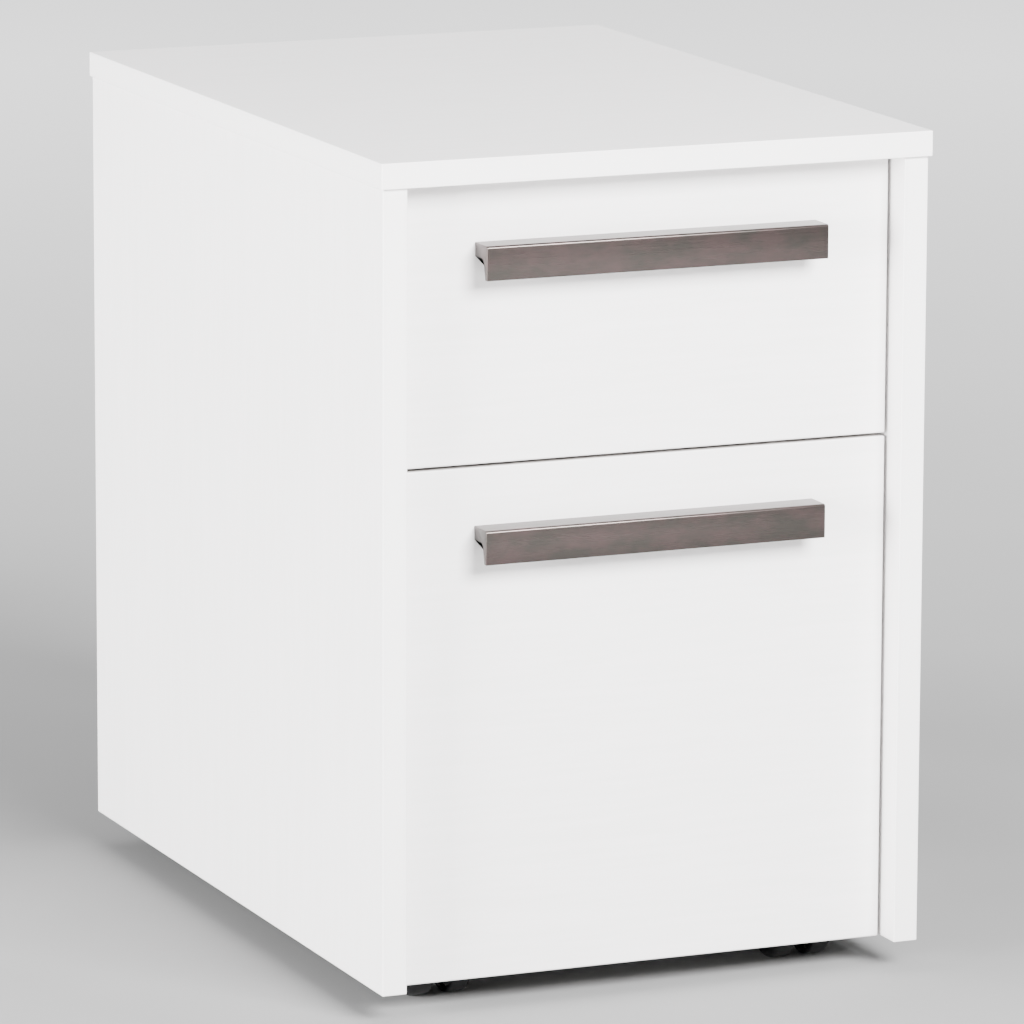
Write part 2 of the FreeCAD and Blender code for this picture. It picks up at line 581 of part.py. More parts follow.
def carcass_cams():
    """Cam locks of the carcass: on the sides' inner faces, under the bottom and on the back's inner face."""
    spots = []
    for _, sign in SIDES:
        face = f"{sign} * layout.inner_width / 2"
        inset = f"{sign} * (layout.inner_width / 2 - sizes.cam_distance)"
        slot_up = FreeCAD.Rotation(VECTOR(0, 0, -1), VECTOR(0, -1, 0), VECTOR(-sign, 0, 0), "ZXY")
        slot_out = FreeCAD.Rotation(VECTOR(-sign, 0, 0), VECTOR(0, 1, 0), VECTOR(0, 0, -1), "ZXY")
        slot_side = FreeCAD.Rotation(VECTOR(-sign, 0, 0), VECTOR(0, 0, 1), VECTOR(0, -1, 0), "ZXY")
        for y in TOP_JOINT:
            spots.append((face, f"layout.side_front + {y}", "layout.side_top - sizes.cam_distance", slot_up))
        for y in FLOOR_JOINT:
            spots.append((inset, f"layout.side_front + {y}", "layout.castor_height", slot_out))
        for z in BACK_JOINT:
            spots.append((inset, "layout.back_inner", f"sizes.floor_gap + {z}", slot_side))
    return spots


def runner_screw_spots():
    """Screws that hold the cabinet runner members to the side panels."""
    spots = []
    for _, sign in SIDES:
        face = f"{sign} * (layout.inner_width / 2 - sizes.runner_sheet)"
        inward = TO_RIGHT if sign < 0 else TO_LEFT
        for drawer in DRAWERS:
            for y in runner_screw_offsets():
                spots.append((face, f"layout.floor_board_front + {y}", f"layout.{drawer}_runner_z", inward))
    return spots


# ---- runners ----


def channel(base, reach, height, flip=False):
    """A C section from a web at base to flange edges at reach, or with the web at reach if flipped."""
    web = f"{base} + sizes.runner_sheet"
    far = reach
    if flip:
        base, web, far = reach, f"{reach} - sizes.runner_sheet", base
    inner = f"{height} / 2 - sizes.runner_sheet"
    outer = f"{height} / 2"
    return (
        (base, f"-{outer}"),
        (far, f"-{outer}"),
        (far, f"-({inner})"),
        (web, f"-({inner})"),
        (web, inner),
        (far, inner),
        (far, outer),
        (base, outer),
    )


def lipped_channel(reach, height, lip):
    """A C section with its web on the plane u = 0 and lips turned in at the flanges' ends."""
    sheet = "sizes.runner_sheet"
    inner = f"{height} / 2 - {sheet}"
    outer = f"{height} / 2"
    inside = f"{reach} - {sheet}"
    end = f"{height} / 2 - {lip}"
    return (
        ("0", f"-{outer}"),
        (reach, f"-{outer}"),
        (reach, f"-({end})"),
        (inside, f"-({end})"),
        (inside, f"-({inner})"),
        (sheet, f"-({inner})"),
        (sheet, inner),
        (inside, inner),
        (inside, end),
        (reach, end),
        (reach, outer),
        ("0", outer),
    )


def place_member(body, drawer, sign):
    """Puts a runner member against its side panel, its section growing towards the drawer box."""
    turn = UPWARD if sign < 0 else DOWNWARD
    place(
        body,
        f"{sign} * layout.inner_width / 2",
        "layout.floor_board_front",
        f"layout.{drawer}_runner_z",
        turn,
    )


def make_runner(doc, drawer, side, sign):
    """The three nested members of one ball-bearing runner."""
    stem = f"{drawer}_{side}"
    length = "layout.runner_length"
    short = "sizes.runner_thickness - sizes.member_setback"
    screws = [(y, "0") for y in runner_screw_offsets()]
    sheet = "sizes.runner_sheet"
    section = lipped_channel(short, "sizes.cabinet_member_height", "sizes.member_lip")
    outer = prism(doc, f"{stem}_cabinet_runner", "XZ_Plane", section, length)
    drill(outer, "YZ_Plane", "0", screws, "layout.screw_bore", sheet)
    section = channel("sizes.member_clearance", short, "sizes.middle_member_height")
    middle = prism(doc, f"{stem}_middle_runner", "XZ_Plane", section, length)
    base = "layout.drawer_member_base"
    section = channel(base, "sizes.runner_thickness", "sizes.drawer_member_height", flip=True)
    inner = prism(doc, f"{stem}_drawer_runner", "XZ_Plane", section, length)
    drill(inner, "YZ_Plane", "sizes.runner_thickness", screws, "layout.screw_bore", sheet, -1)
    members = [outer, middle, inner]
    for member in members:
        place_member(member, drawer, sign)
    return members


# ---- castors ----


def castor_spots():
    """Names and swivel axes of the four castors."""
    spots = []
    for end in ("front", "back"):
        for side, sign in SIDES:
            spots.append((f"{end}_{side}", f"{sign} * layout.castor_x", f"layout.castor_{end}"))
    return spots


def castor_screw_spots():
    """The four screws round each swivel axis."""
    half = "sizes.plate_hole_pitch / 2"
    return [
        (f"{x} + {a} * {half}", f"{y} + {b} * {half}")
        for _, x, y in castor_spots()
        for a in (-1, 1)
        for b in (-1, 1)
    ]


def plate_corner(middle, box, edge):
    """True for the four upright corner edges of a castor plate."""
    upright = abs(edge.BoundBox.ZLength - box.ZLength) < 1e-6
    return upright and edge.BoundBox.XLength < 1e-6


def make_plate(doc):
    """Castor mounting plate with its swivel pin; the body's origin is on the plate's upper face."""
    body = new_body(doc, "castor_plate")
    half = "sizes.plate_side / 2"
    sketch = new_sketch(body, "XY_Plane")
    add_outline(sketch, rectangle(f"-{half}", f"-{half}", half, half))
    add_pad(body, sketch, "XY_Plane", "sizes.plate_thickness", -1)
    round_edges(doc, body, "sizes.plate_radius", plate_corner)
    pin = new_sketch(body, "XY_Plane", "-sizes.plate_thickness")
    add_circle(pin, "0", "0", "sizes.stem_diameter")
    add_pad(body, pin, "XY_Plane", "sizes.stem_length", -1)
    pitch = "sizes.plate_hole_pitch / 2"
    holes = [(f"{a} * {pitch}", f"{b} * {pitch}") for a in (-1, 1) for b in (-1, 1)]
    drill(body, "XY_Plane", "0", holes, "layout.screw_bore", "sizes.plate_thickness", -1)
    return body


def hood_outline(sketch):
    """Side view of the hood round the axle: an arc from the collar's side to the open end, closed below."""
    axle_y = "-sizes.castor_trail"
    axle_z = "sizes.wheel_diameter / 2"
    angle = "sizes.hood_open_angle * 1 deg"
    low = f"{axle_z} + sizes.hood_lift"
    corners = (
        (f"{axle_y} + sqrt(layout.hood_radius ^ 2 - sizes.hood_lift ^ 2)", low),
        (f"{axle_y} - layout.hood_radius * cos({angle})", f"{axle_z} + layout.hood_radius * sin({angle})"),
        (f"{axle_y} - sizes.boss_radius", low),
    )
    points = [VECTOR(sketch.evalExpression(u), sketch.evalExpression(v), 0) for u, v in corners]
    centre = VECTOR(sketch.evalExpression(axle_y), sketch.evalExpression(axle_z), 0)
    add_arc(sketch, centre, points[0], points[1])
    sketch.addGeometry(Part.LineSegment(points[1], points[2]))
    sketch.addGeometry(Part.LineSegment(points[2], points[0]))
    sketch.addConstraint(Sketcher.Constraint("Coincident", 0, 2, 1, 1))
    sketch.addConstraint(Sketcher.Constraint("Coincident", 1, 2, 2, 1))
    sketch.addConstraint(Sketcher.Constraint("Coincident", 2, 2, 0, 1))
    bind(sketch, "DistanceX", "centre_u", 0, 3, axle_y)
    bind(sketch, "DistanceY", "centre_v", 0, 3, axle_z)
    bind(sketch, "DistanceY", "start_v", 0, 1, corners[0][1])
    index = sketch.addConstraint(Sketcher.Constraint("Radius", 0, centre.distanceToPoint(points[0])))
    sketch.renameConstraint(index, "radius")
    sketch.setExpression("Constraints.radius", "layout.hood_radius")
    bind(sketch, "DistanceX", "end_u", 0, 2, corners[1][0])
    bind(sketch, "DistanceX", "heel_u", 2, 1, corners[2][0])
    bind(sketch, "DistanceY", "heel_v", 2, 1, corners[2][1])


def make_hood(doc, name, x, y):
    """Castor body: hood over the wheels, web between them, axle boss and swivel collar.

    The body's origin is on the floor under the swivel axis, and the axle trails towards -Y."""
    body = new_body(doc, name)
    axle_y = "-sizes.castor_trail"
    axle_z = "sizes.wheel_diameter / 2"
    side = new_sketch(body, "YZ_Plane")
    hood_outline(side)
    add_pad(body, side, "YZ_Plane", "sizes.hood_width", middle=True)
    collar = new_sketch(body, "XY_Plane", axle_z)
    add_circle(collar, "0", "0", "sizes.collar_diameter")
    add_pad(body, collar, "XY_Plane", "layout.collar_top - sizes.wheel_diameter / 2")
    well = "sizes.wheel_diameter + 2 * sizes.hood_clearance"
    for sign in (-1, 1):
        level = f"{sign} * sizes.web_width / 2"
        drill(body, "YZ_Plane", level, [(axle_y, axle_z)], well, "sizes.hood_width", sign)
    boss = new_sketch(body, "YZ_Plane")
    add_circle(boss, axle_y, axle_z, "2 * sizes.boss_radius")
    add_pad(body, boss, "YZ_Plane", "sizes.web_width", middle=True)
    pin = "sizes.stem_diameter + 2 * sizes.fit"
    depth = "sizes.stem_length - sizes.swivel_gap + sizes.stem_play"
    drill(body, "XY_Plane", "layout.collar_top", [("0", "0")], pin, depth, -1)
    bore = new_sketch(body, "YZ_Plane")
    add_circle(bore, axle_y, axle_z, "sizes.axle_diameter + sizes.fit")
    add_pocket(body, bore, "YZ_Plane", "2 * sizes.web_width", middle=True)
    place(body, x, y, "0")
    return body


def make_axle(doc, name, x, y):
    """Steel axle through the castor body into both wheels."""
    axle = doc.addObject("Part::Cylinder", name)
    axle.Label = name
    axle.setExpression("Radius", "sizes.axle_diameter / 2")
    reach = "sizes.hub_gap / 2 + sizes.wheel_bore_depth - sizes.axle_play"
    axle.setExpression("Height", f"2 * ({reach})")
    place(axle, f"{x} - ({reach})", f"{y} - sizes.castor_trail", "sizes.wheel_diameter / 2", TO_RIGHT)
    return axle


def wheel_shoulder_edge(middle, box, edge):
    """True for the circle where a wheel's tread meets its dome."""
    widest = edge.BoundBox.YLength > box.YLength - 1e-3
    return widest and middle.x > box.Center.x


def make_wheel(doc, name, x, y, sign):
    """One castor wheel about its axle: flat inner face with an axle hole, tread and domed outer face."""
    body = new_body(doc, name)
    sketch = new_sketch(body, "XY_Plane")
    bore = "sizes.axle_diameter / 2 + sizes.fit"
    depth = "sizes.wheel_bore_depth"
    corners = (
        ("sizes.wheel_width", "0"),
        (depth, "0"),
        (depth, bore),
        ("0", bore),
        ("0", "sizes.wheel_diameter / 2"),
        ("sizes.wheel_width - sizes.wheel_crown", "sizes.wheel_diameter / 2"),
    )
    points = [VECTOR(sketch.evalExpression(u), sketch.evalExpression(v), 0) for u, v in corners]
    for start, end in zip(points, points[1:]):
        sketch.addGeometry(Part.LineSegment(start, end))
    radius = float(sketch.evalExpression("sizes.wheel_diameter / 2"))
    crown = float(sketch.evalExpression("sizes.wheel_crown"))
    dome = (radius ** 2 + crown ** 2) / (2 * crown)
    arc = add_arc(sketch, points[0] - VECTOR(dome, 0, 0), points[0], points[-1])
    count = len(corners)
    for index in range(count - 2):
        sketch.addConstraint(Sketcher.Constraint("Coincident", index, 2, index + 1, 1))
    sketch.addConstraint(Sketcher.Constraint("Coincident", count - 2, 2, arc, 2))
    sketch.addConstraint(Sketcher.Constraint("Coincident", 0, 1, arc, 1))
    for index, (u, v) in enumerate(corners[:-1]):
        bind(sketch, "DistanceX", f"u{index}", index, 1, u)
        bind(sketch, "DistanceY", f"v{index}", index, 1, v)
    bind(sketch, "DistanceX", "shoulder_u", arc, 2, corners[-1][0])
    bind(sketch, "DistanceY", "shoulder_v", arc, 2, corners[-1][1])
    sketch.addConstraint(Sketcher.Constraint("PointOnObject", arc, 3, -1))
    revolve(body, sketch)
    round_edges(doc, body, "sizes.wheel_shoulder", wheel_shoulder_edge)
    turn = UPWARD if sign > 0 else HALF_TURN
    place(
        body,
        f"{x} + {sign} * sizes.hub_gap / 2",
        f"{y} - sizes.castor_trail",
        "sizes.wheel_diameter / 2",
        turn,
    )
    return body


def make_castors(doc):
    """All four castors with their plates and screws."""
    parts = []
    plates = []
    for spot, x, y in castor_spots():
        plates.append((x, y, "layout.castor_height", UPWARD))
        parts.append(make_hood(doc, f"{spot}_castor_body", x, y))
        parts.append(make_axle(doc, f"{spot}_castor_axle", x, y))
        for side, sign in SIDES:
            parts.append(make_wheel(doc, f"{spot}_castor_{side}_wheel", x, y, sign))
    parts.append(scatter(doc, "castor_plates", make_plate(doc), plates))
    screw = make_screw(doc, "castor_screw", "sizes.castor_screw_length")
    screws = [(x, y, "layout.plate_under", DOWNWARD) for x, y in castor_screw_spots()]
    parts.append(scatter(doc, "castor_screws", screw, screws))
    return parts


# ---- drawers ----


def make_front(doc, drawer):
    """Drawer front, drilled for its handle and box and grooved for the base."""
    height = f"layout.{drawer}_front_height"
    body = box_body(doc, f"{drawer}_drawer_front", "layout.front_width", "sizes.board", height)
    place(body, "-layout.front_width / 2", "layout.front_face", f"layout.{drawer}_front_bottom")
    round_edges(doc, body, "sizes.front_radius")
    middle = "layout.front_width / 2"
    screw_z = f"{height} - layout.handle_screw_drop"
    screws = [(f"{middle} + {sign} * layout.handle_screw_x", screw_z) for _, sign in SIDES]
    drill(body, "XZ_Plane", "0", screws, "layout.screw_bore", "sizes.board")
    lift = f"layout.{drawer}_box_bottom - layout.{drawer}_front_bottom"
    spots = []
    for _, sign in SIDES:
        x = f"{middle} + {sign} * (layout.box_width - sizes.box_board) / 2"
        spots += [(x, f"{lift} + {z}") for z in box_joint_heights(drawer)]
    depth = "sizes.bolt_thread + sizes.fit"
    drill(body, "XZ_Plane", "sizes.board", spots, "layout.thread_bore", depth, -1)
    half = "layout.box_inner / 2 + sizes.groove_depth"
    low = f"{lift} + sizes.groove_rise"
    groove = rectangle(f"{middle} - ({half})", low, f"{middle} + {half}", f"{low} + layout.groove_width")
    mill(body, "XZ_Plane", "sizes.board", groove, "sizes.groove_depth", -1)
    return body


def make_box_side(doc, drawer, side, sign):
    """Drawer box side: base groove and cam locks inside, runner screws outside."""
    height = f"layout.{drawer}_box_height"
    name = f"{drawer}_drawer_{side}_side"
    body = box_body(doc, name, "sizes.box_board", "layout.box_length", height)
    corner = "-layout.box_width / 2" if sign < 0 else "layout.box_width / 2 - sizes.box_board"
    place(body, corner, "layout.front_back", f"layout.{drawer}_box_bottom")
    inner = "sizes.box_board" if sign < 0 else "0"
    outer = "0" if sign < 0 else "sizes.box_board"
    middle = "sizes.box_board / 2"
    low = "sizes.groove_rise"
    groove = rectangle("0", low, "layout.box_length", f"{low} + layout.groove_width")
    mill(body, "YZ_Plane", inner, groove, "sizes.groove_depth", sign)
    heights = box_joint_heights(drawer)
    cams = [("sizes.cam_distance", z) for z in heights]
    drill(body, "YZ_Plane", inner, cams, "layout.cam_bore", "sizes.cam_depth + sizes.fit", sign)
    drill(body, "XZ_Plane", "0", [(middle, z) for z in heights], "layout.head_bore", "layout.bolt_reach")
    bolts = [("layout.box_length - sizes.box_board / 2", z) for z in heights]
    drill(body, "YZ_Plane", inner, bolts, "layout.thread_bore", "sizes.bolt_thread + sizes.fit", sign)
    screws = [
        (f"sizes.gap_floor_board + {y}", f"sizes.{drawer}_runner_rise") for y in runner_screw_offsets()
    ]
    reach = "sizes.runner_screw_length - sizes.runner_sheet + sizes.fit"
    drill(body, "YZ_Plane", outer, screws, "layout.screw_bore", reach, -sign)
    return body


def make_box_back(doc, drawer):
    """Back of a drawer box, between its sides, with its cam locks in its rear face."""
    height = f"layout.{drawer}_box_height"
    body = box_body(doc, f"{drawer}_drawer_back", "layout.box_inner", "sizes.box_board", height)
    place(
        body,
        "-layout.box_inner / 2",
        "layout.box_back - sizes.box_board",
        f"layout.{drawer}_box_bottom",
    )
    low = "sizes.groove_rise"
    groove = rectangle("0", low, "layout.box_inner", f"{low} + layout.groove_width")
    mill(body, "XZ_Plane", "0", groove, "sizes.groove_depth")
    heights = box_joint_heights(drawer)
    across = joint_spots("0", "layout.box_inner", "sizes.cam_distance")
    cams = [(x, z) for x in across for z in heights]
    depth = "sizes.cam_depth + sizes.fit"
    drill(body, "XZ_Plane", "sizes.box_board", cams, "layout.cam_bore", depth, -1)
    for level, way in (("0", 1), ("layout.box_inner", -1)):
        bolts = [("sizes.box_board / 2", z) for z in heights]
        drill(body, "YZ_Plane", level, bolts, "layout.head_bore", "layout.bolt_reach", way)
    return body


def make_base(doc, drawer):
    """Drawer base, held in the grooves of the box and the front."""
    grip = "sizes.groove_depth - sizes.base_play"
    width = f"layout.box_inner + 2 * ({grip})"
    depth = f"layout.box_length - sizes.box_board + 2 * ({grip})"
    body = box_body(doc, f"{drawer}_drawer_base", width, depth, "sizes.base_board")
    place(
        body,
        f"-({width}) / 2",
        f"layout.front_back - ({grip})",
        f"layout.{drawer}_box_bottom + sizes.groove_rise",
    )
    return body


def handle_front_edge(middle, box, edge):
    """True for the handle's long edge at the top of its front face."""
    long_edge = edge.BoundBox.XLength > box.XLength - 1e-6
    return long_edge and middle.y < box.YMin + 1e-6 and middle.z > box.ZMax - 1e-6


def make_handle(doc, drawer):
    """Bar handle: a web out from the drawer front and a tapering lip down from its front edge.

    The body's origin is on the drawer front's face, at the middle of the handle's upper edge."""
    body = new_body(doc, f"{drawer}_handle")
    sketch = new_sketch(body, "YZ_Plane")
    reach = "-sizes.handle_projection"
    under = "-sizes.handle_web"
    add_outline(sketch, (
        ("0", "0"),
        (reach, "0"),
        (reach, "-sizes.handle_height"),
        (f"{reach} + sizes.lip_lower", "-sizes.handle_height"),
        (f"{reach} + sizes.lip_upper", under),
        ("0", under),
    ))
    add_pad(body, sketch, "YZ_Plane", "sizes.handle_length", middle=True)
    round_edges(doc, body, "sizes.handle_radius", handle_front_edge)
    spots = [(f"{sign} * layout.handle_screw_x", "-sizes.handle_web / 2") for _, sign in SIDES]
    depth = "sizes.handle_screw_bite + sizes.handle_screw_play"
    drill(body, "XZ_Plane", "0", spots, "layout.screw_bore", depth, -1)
    place(body, "0", "layout.front_face", f"layout.{drawer}_front_top - sizes.handle_drop")
    return body


def make_file_rail(doc, name):
    """Section of a hanging-file rail along +Y: a saddle on the box side's edge with an upright rib."""
    sheet = "sizes.rail_thickness"
    width = "sizes.box_board"
    rib = f"{width} / 2 + {sheet} / 2"
    height = f"{sheet} + sizes.rail_rib"
    length = "layout.box_length - sizes.box_board - 2 * sizes.rail_inset"
    return prism(doc, name, "XZ_Plane", (
        ("0", "0"),
        (width, "0"),
        (width, "-sizes.rail_leg"),
        (f"{width} + {sheet}", "-sizes.rail_leg"),
        (f"{width} + {sheet}", sheet),
        (rib, sheet),
        (rib, height),
        (f"{rib} - {sheet}", height),
        (f"{rib} - {sheet}", sheet),
        ("0", sheet),
    ), length)


def make_file_rails(doc):
    """The two hanging-file rails on the lower drawer box, the right one turned end for end."""
    rail = make_file_rail(doc, "file_rail")
    top = "layout.lower_box_bottom + layout.lower_box_height"
    front = "layout.front_back + sizes.rail_inset"
    rear = "layout.box_back - sizes.box_board - sizes.rail_inset"
    spots = (
        ("-layout.box_width / 2", front, top, UPWARD),
        ("layout.box_width / 2", rear, top, HALF_TURN),
    )
    return scatter(doc, "file_rails", rail, spots)


def box_fastener_spots(drawer):
    """Bolts and cam locks that hold a drawer box to its front and its back to its sides."""
    bolts = []
    cams = []
    for _, sign in SIDES:
        middle = f"{sign} * (layout.box_width - sizes.box_board) / 2"
        face = f"{sign} * layout.box_inner / 2"
        inset = f"{sign} * (layout.box_inner / 2 - sizes.cam_distance)"
        inward = TO_RIGHT if sign < 0 else TO_LEFT
        slot_front = FreeCAD.Rotation(VECTOR(0, 1, 0), VECTOR(0, 0, 1), VECTOR(-sign, 0, 0), "ZXY")
        slot_side = FreeCAD.Rotation(VECTOR(-sign, 0, 0), VECTOR(0, 0, 1), VECTOR(0, 1, 0), "ZXY")
        for rise in box_joint_heights(drawer):
            z = f"layout.{drawer}_box_bottom + {rise}"
            bolts.append((middle, "layout.front_back", z, TO_BACK))
            bolts.append((face, "layout.box_back - sizes.box_board / 2", z, inward))
            cams.append((face, "layout.front_back + sizes.cam_distance", z, slot_front))
            cams.append((inset, "layout.box_back", z, slot_side))
    return bolts, cams


def drawer_runner_screws(drawer):
    """Screws that hold the drawer runner members to the box sides."""
    spots = []
    for _, sign in SIDES:
        face = f"{sign} * (layout.box_width / 2 + sizes.runner_sheet)"
        outward = TO_LEFT if sign < 0 else TO_RIGHT
        for y in runner_screw_offsets():
            spots.append((face, f"layout.floor_board_front + {y}", f"layout.{drawer}_runner_z", outward))
    return spots


def make_drawer(doc, drawer, masters):
    """One drawer: front, box, base, handle and their fasteners."""
    bolt, cam, runner_screw, handle_screw = masters
    parts = [make_front(doc, drawer), make_box_back(doc, drawer), make_base(doc, drawer)]
    parts += [make_box_side(doc, drawer, side, sign) for side, sign in SIDES]
    parts.append(make_handle(doc, drawer))
    bolts, cams = box_fastener_spots(drawer)
    parts.append(scatter(doc, f"{drawer}_drawer_cam_bolts", bolt, bolts))
    parts.append(scatter(doc, f"{drawer}_drawer_cam_locks", cam, cams))
    parts.append(scatter(doc, f"{drawer}_drawer_runner_screws", runner_screw, drawer_runner_screws(drawer)))
    level = f"layout.{drawer}_front_top - layout.handle_screw_drop"
    screws = [(f"{sign} * layout.handle_screw_x", "layout.front_back", level, TO_BACK) for _, sign in SIDES]
    parts.append(scatter(doc, f"{drawer}_handle_screws", handle_screw, screws))
    return parts


# ---- the whole object ----


def make_parts(doc):
    """Every sub-part of the pedestal, in the order it goes together."""
    bolt = make_bolt(doc)
    cam = make_cam(doc)
    dowel = make_dowel(doc)
    runner_screw = make_screw(doc, "runner_screw", "sizes.runner_screw_length")
    handle_screw = make_screw(doc, "handle_screw", "sizes.board + sizes.handle_screw_bite")
    parts = [make_top(doc), make_bottom(doc), make_back(doc)]
    parts += [make_side(doc, side, sign) for side, sign in SIDES]
    parts.append(scatter(doc, "cam_bolts", bolt, carcass_joints(TOP_JOINT, FLOOR_JOINT, BACK_JOINT)))
    parts.append(scatter(doc, "cam_locks", cam, carcass_cams()))
    dowels = carcass_joints(TOP_DOWELS, FLOOR_DOWELS, BACK_DOWELS)
    parts.append(scatter(doc, "wood_dowels", dowel, dowels))
    parts.append(scatter(doc, "cabinet_runner_screws", runner_screw, runner_screw_spots()))
    parts += make_castors(doc)
    masters = (bolt, cam, runner_screw, handle_screw)
    for drawer in DRAWERS:
        parts += make_drawer(doc, drawer, masters)
        for side, sign in SIDES:
            parts += make_runner(doc, drawer, side, sign)
    parts.append(make_file_rails(doc))
    return parts


def check_model(doc, parts):
    """Stops the build if an object failed, a cut removed nothing, or a sub-part isn't sound."""
    for item in doc.Objects:
        if "Invalid" in item.State or "Error" in item.State:
            raise RuntimeError(f"{item.Name} failed: {item.State}")
        if item.TypeId in CUTS and item.Shape.Volume > item.BaseFeature.Shape.Volume - 1e-3:
            raise RuntimeError(f"{item.Name} cuts nothing")
    for part in parts:
        shape = part.Shape
        if shape.isNull() or not shape.isValid() or not shape.Solids:
            raise RuntimeError(f"{part.Label} has no sound shape")


def main():
    """Builds the pedestal and writes each sub-part to its own STEP file."""
    doc = FreeCAD.newDocument("pedestal")
    make_sheet(doc)
    make_layout(doc)
    parts = make_parts(doc)
    doc.recompute()
    check_model(doc, parts)
    os.makedirs("parts", exist_ok=True)
    for part in parts:
        part.Shape.exportStep(os.path.join("parts", f"{part.Label}.step"))
        print(part.Label, len(part.Shape.Solids), round(part.Shape.Volume, 1))
    print(len(parts), "sub-parts")


main()
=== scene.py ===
"""Looks of a white board drawer pedestal on castors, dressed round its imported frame.

Every length is in metres in the frame's own axes: +X right, +Y back, +Z up, floor at z = 0.
"""

import logging
import math
from dataclasses import dataclass, field
from enum import Enum
from typing import Any, Iterable, Sequence

import bpy
import numpy as np
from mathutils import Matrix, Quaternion, Vector


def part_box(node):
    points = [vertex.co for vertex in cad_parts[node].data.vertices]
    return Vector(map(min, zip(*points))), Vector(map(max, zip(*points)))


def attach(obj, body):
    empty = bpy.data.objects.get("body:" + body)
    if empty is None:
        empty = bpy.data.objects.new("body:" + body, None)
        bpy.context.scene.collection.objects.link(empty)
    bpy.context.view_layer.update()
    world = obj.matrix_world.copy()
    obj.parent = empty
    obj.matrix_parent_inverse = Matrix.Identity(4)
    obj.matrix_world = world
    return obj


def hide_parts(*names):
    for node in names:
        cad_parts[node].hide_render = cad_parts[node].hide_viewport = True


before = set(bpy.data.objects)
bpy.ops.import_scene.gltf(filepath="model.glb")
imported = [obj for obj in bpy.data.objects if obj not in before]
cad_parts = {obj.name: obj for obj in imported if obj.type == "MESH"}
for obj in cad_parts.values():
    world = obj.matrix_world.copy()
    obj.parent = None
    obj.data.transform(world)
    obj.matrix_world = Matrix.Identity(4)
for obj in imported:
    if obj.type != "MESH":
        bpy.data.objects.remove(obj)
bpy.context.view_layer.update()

MM = 0.001
LOG = logging.getLogger("pedestal")
SHARP_ANGLE = math.radians(32)
POLE = 1e-9

Surface = tuple[np.ndarray, np.ndarray]


# ---- colours and nodes ----


def linear(hex_colour: str) -> tuple[float, float, float, float]:
    """Turns an sRGB hex colour into linear light.

    Args:
        hex_colour: six hex digits, such as "EFEDED".

    Returns:
        Red, green, blue and an alpha of 1, each as a linear value.
    """
    channels = [int(hex_colour[i:i + 2], 16) / 255 for i in (0, 2, 4)]
    light = [c / 12.92 if c <= 0.04045 else ((c + 0.055) / 1.055) ** 2.4 for c in channels]
    return (light[0], light[1], light[2], 1.0)


def add_node(tree: bpy.types.NodeTree, kind: str, links: dict[Any, Any], **settings: Any) -> bpy.types.Node:
    """Adds one node with its settings and its inputs.

    Args:
        tree: the node tree that gets the node.
        kind: the node's type name.
        links: input name or number to a socket to link from, or to a plain value.
        settings: attributes set on the node itself.

    Returns:
        The new node.
    """
    node = tree.nodes.new(kind)
    for name, value in settings.items():
        setattr(node, name, value)
    for name, value in links.items():
        if isinstance(value, bpy.types.NodeSocket):
            tree.links.new(value, node.inputs[name])
        else:
            node.inputs[name].default_value = value
    return node


class Axis(Enum):
    """A frame axis, for the run of a grain or a brushing."""

    X = 0
    Y = 1
    Z = 2

    def stretched(self, along: float, across: float) -> tuple[float, float, float]:
        """Pattern frequencies: low along this axis and high across it."""
        return tuple(along if axis is self else across for axis in Axis)


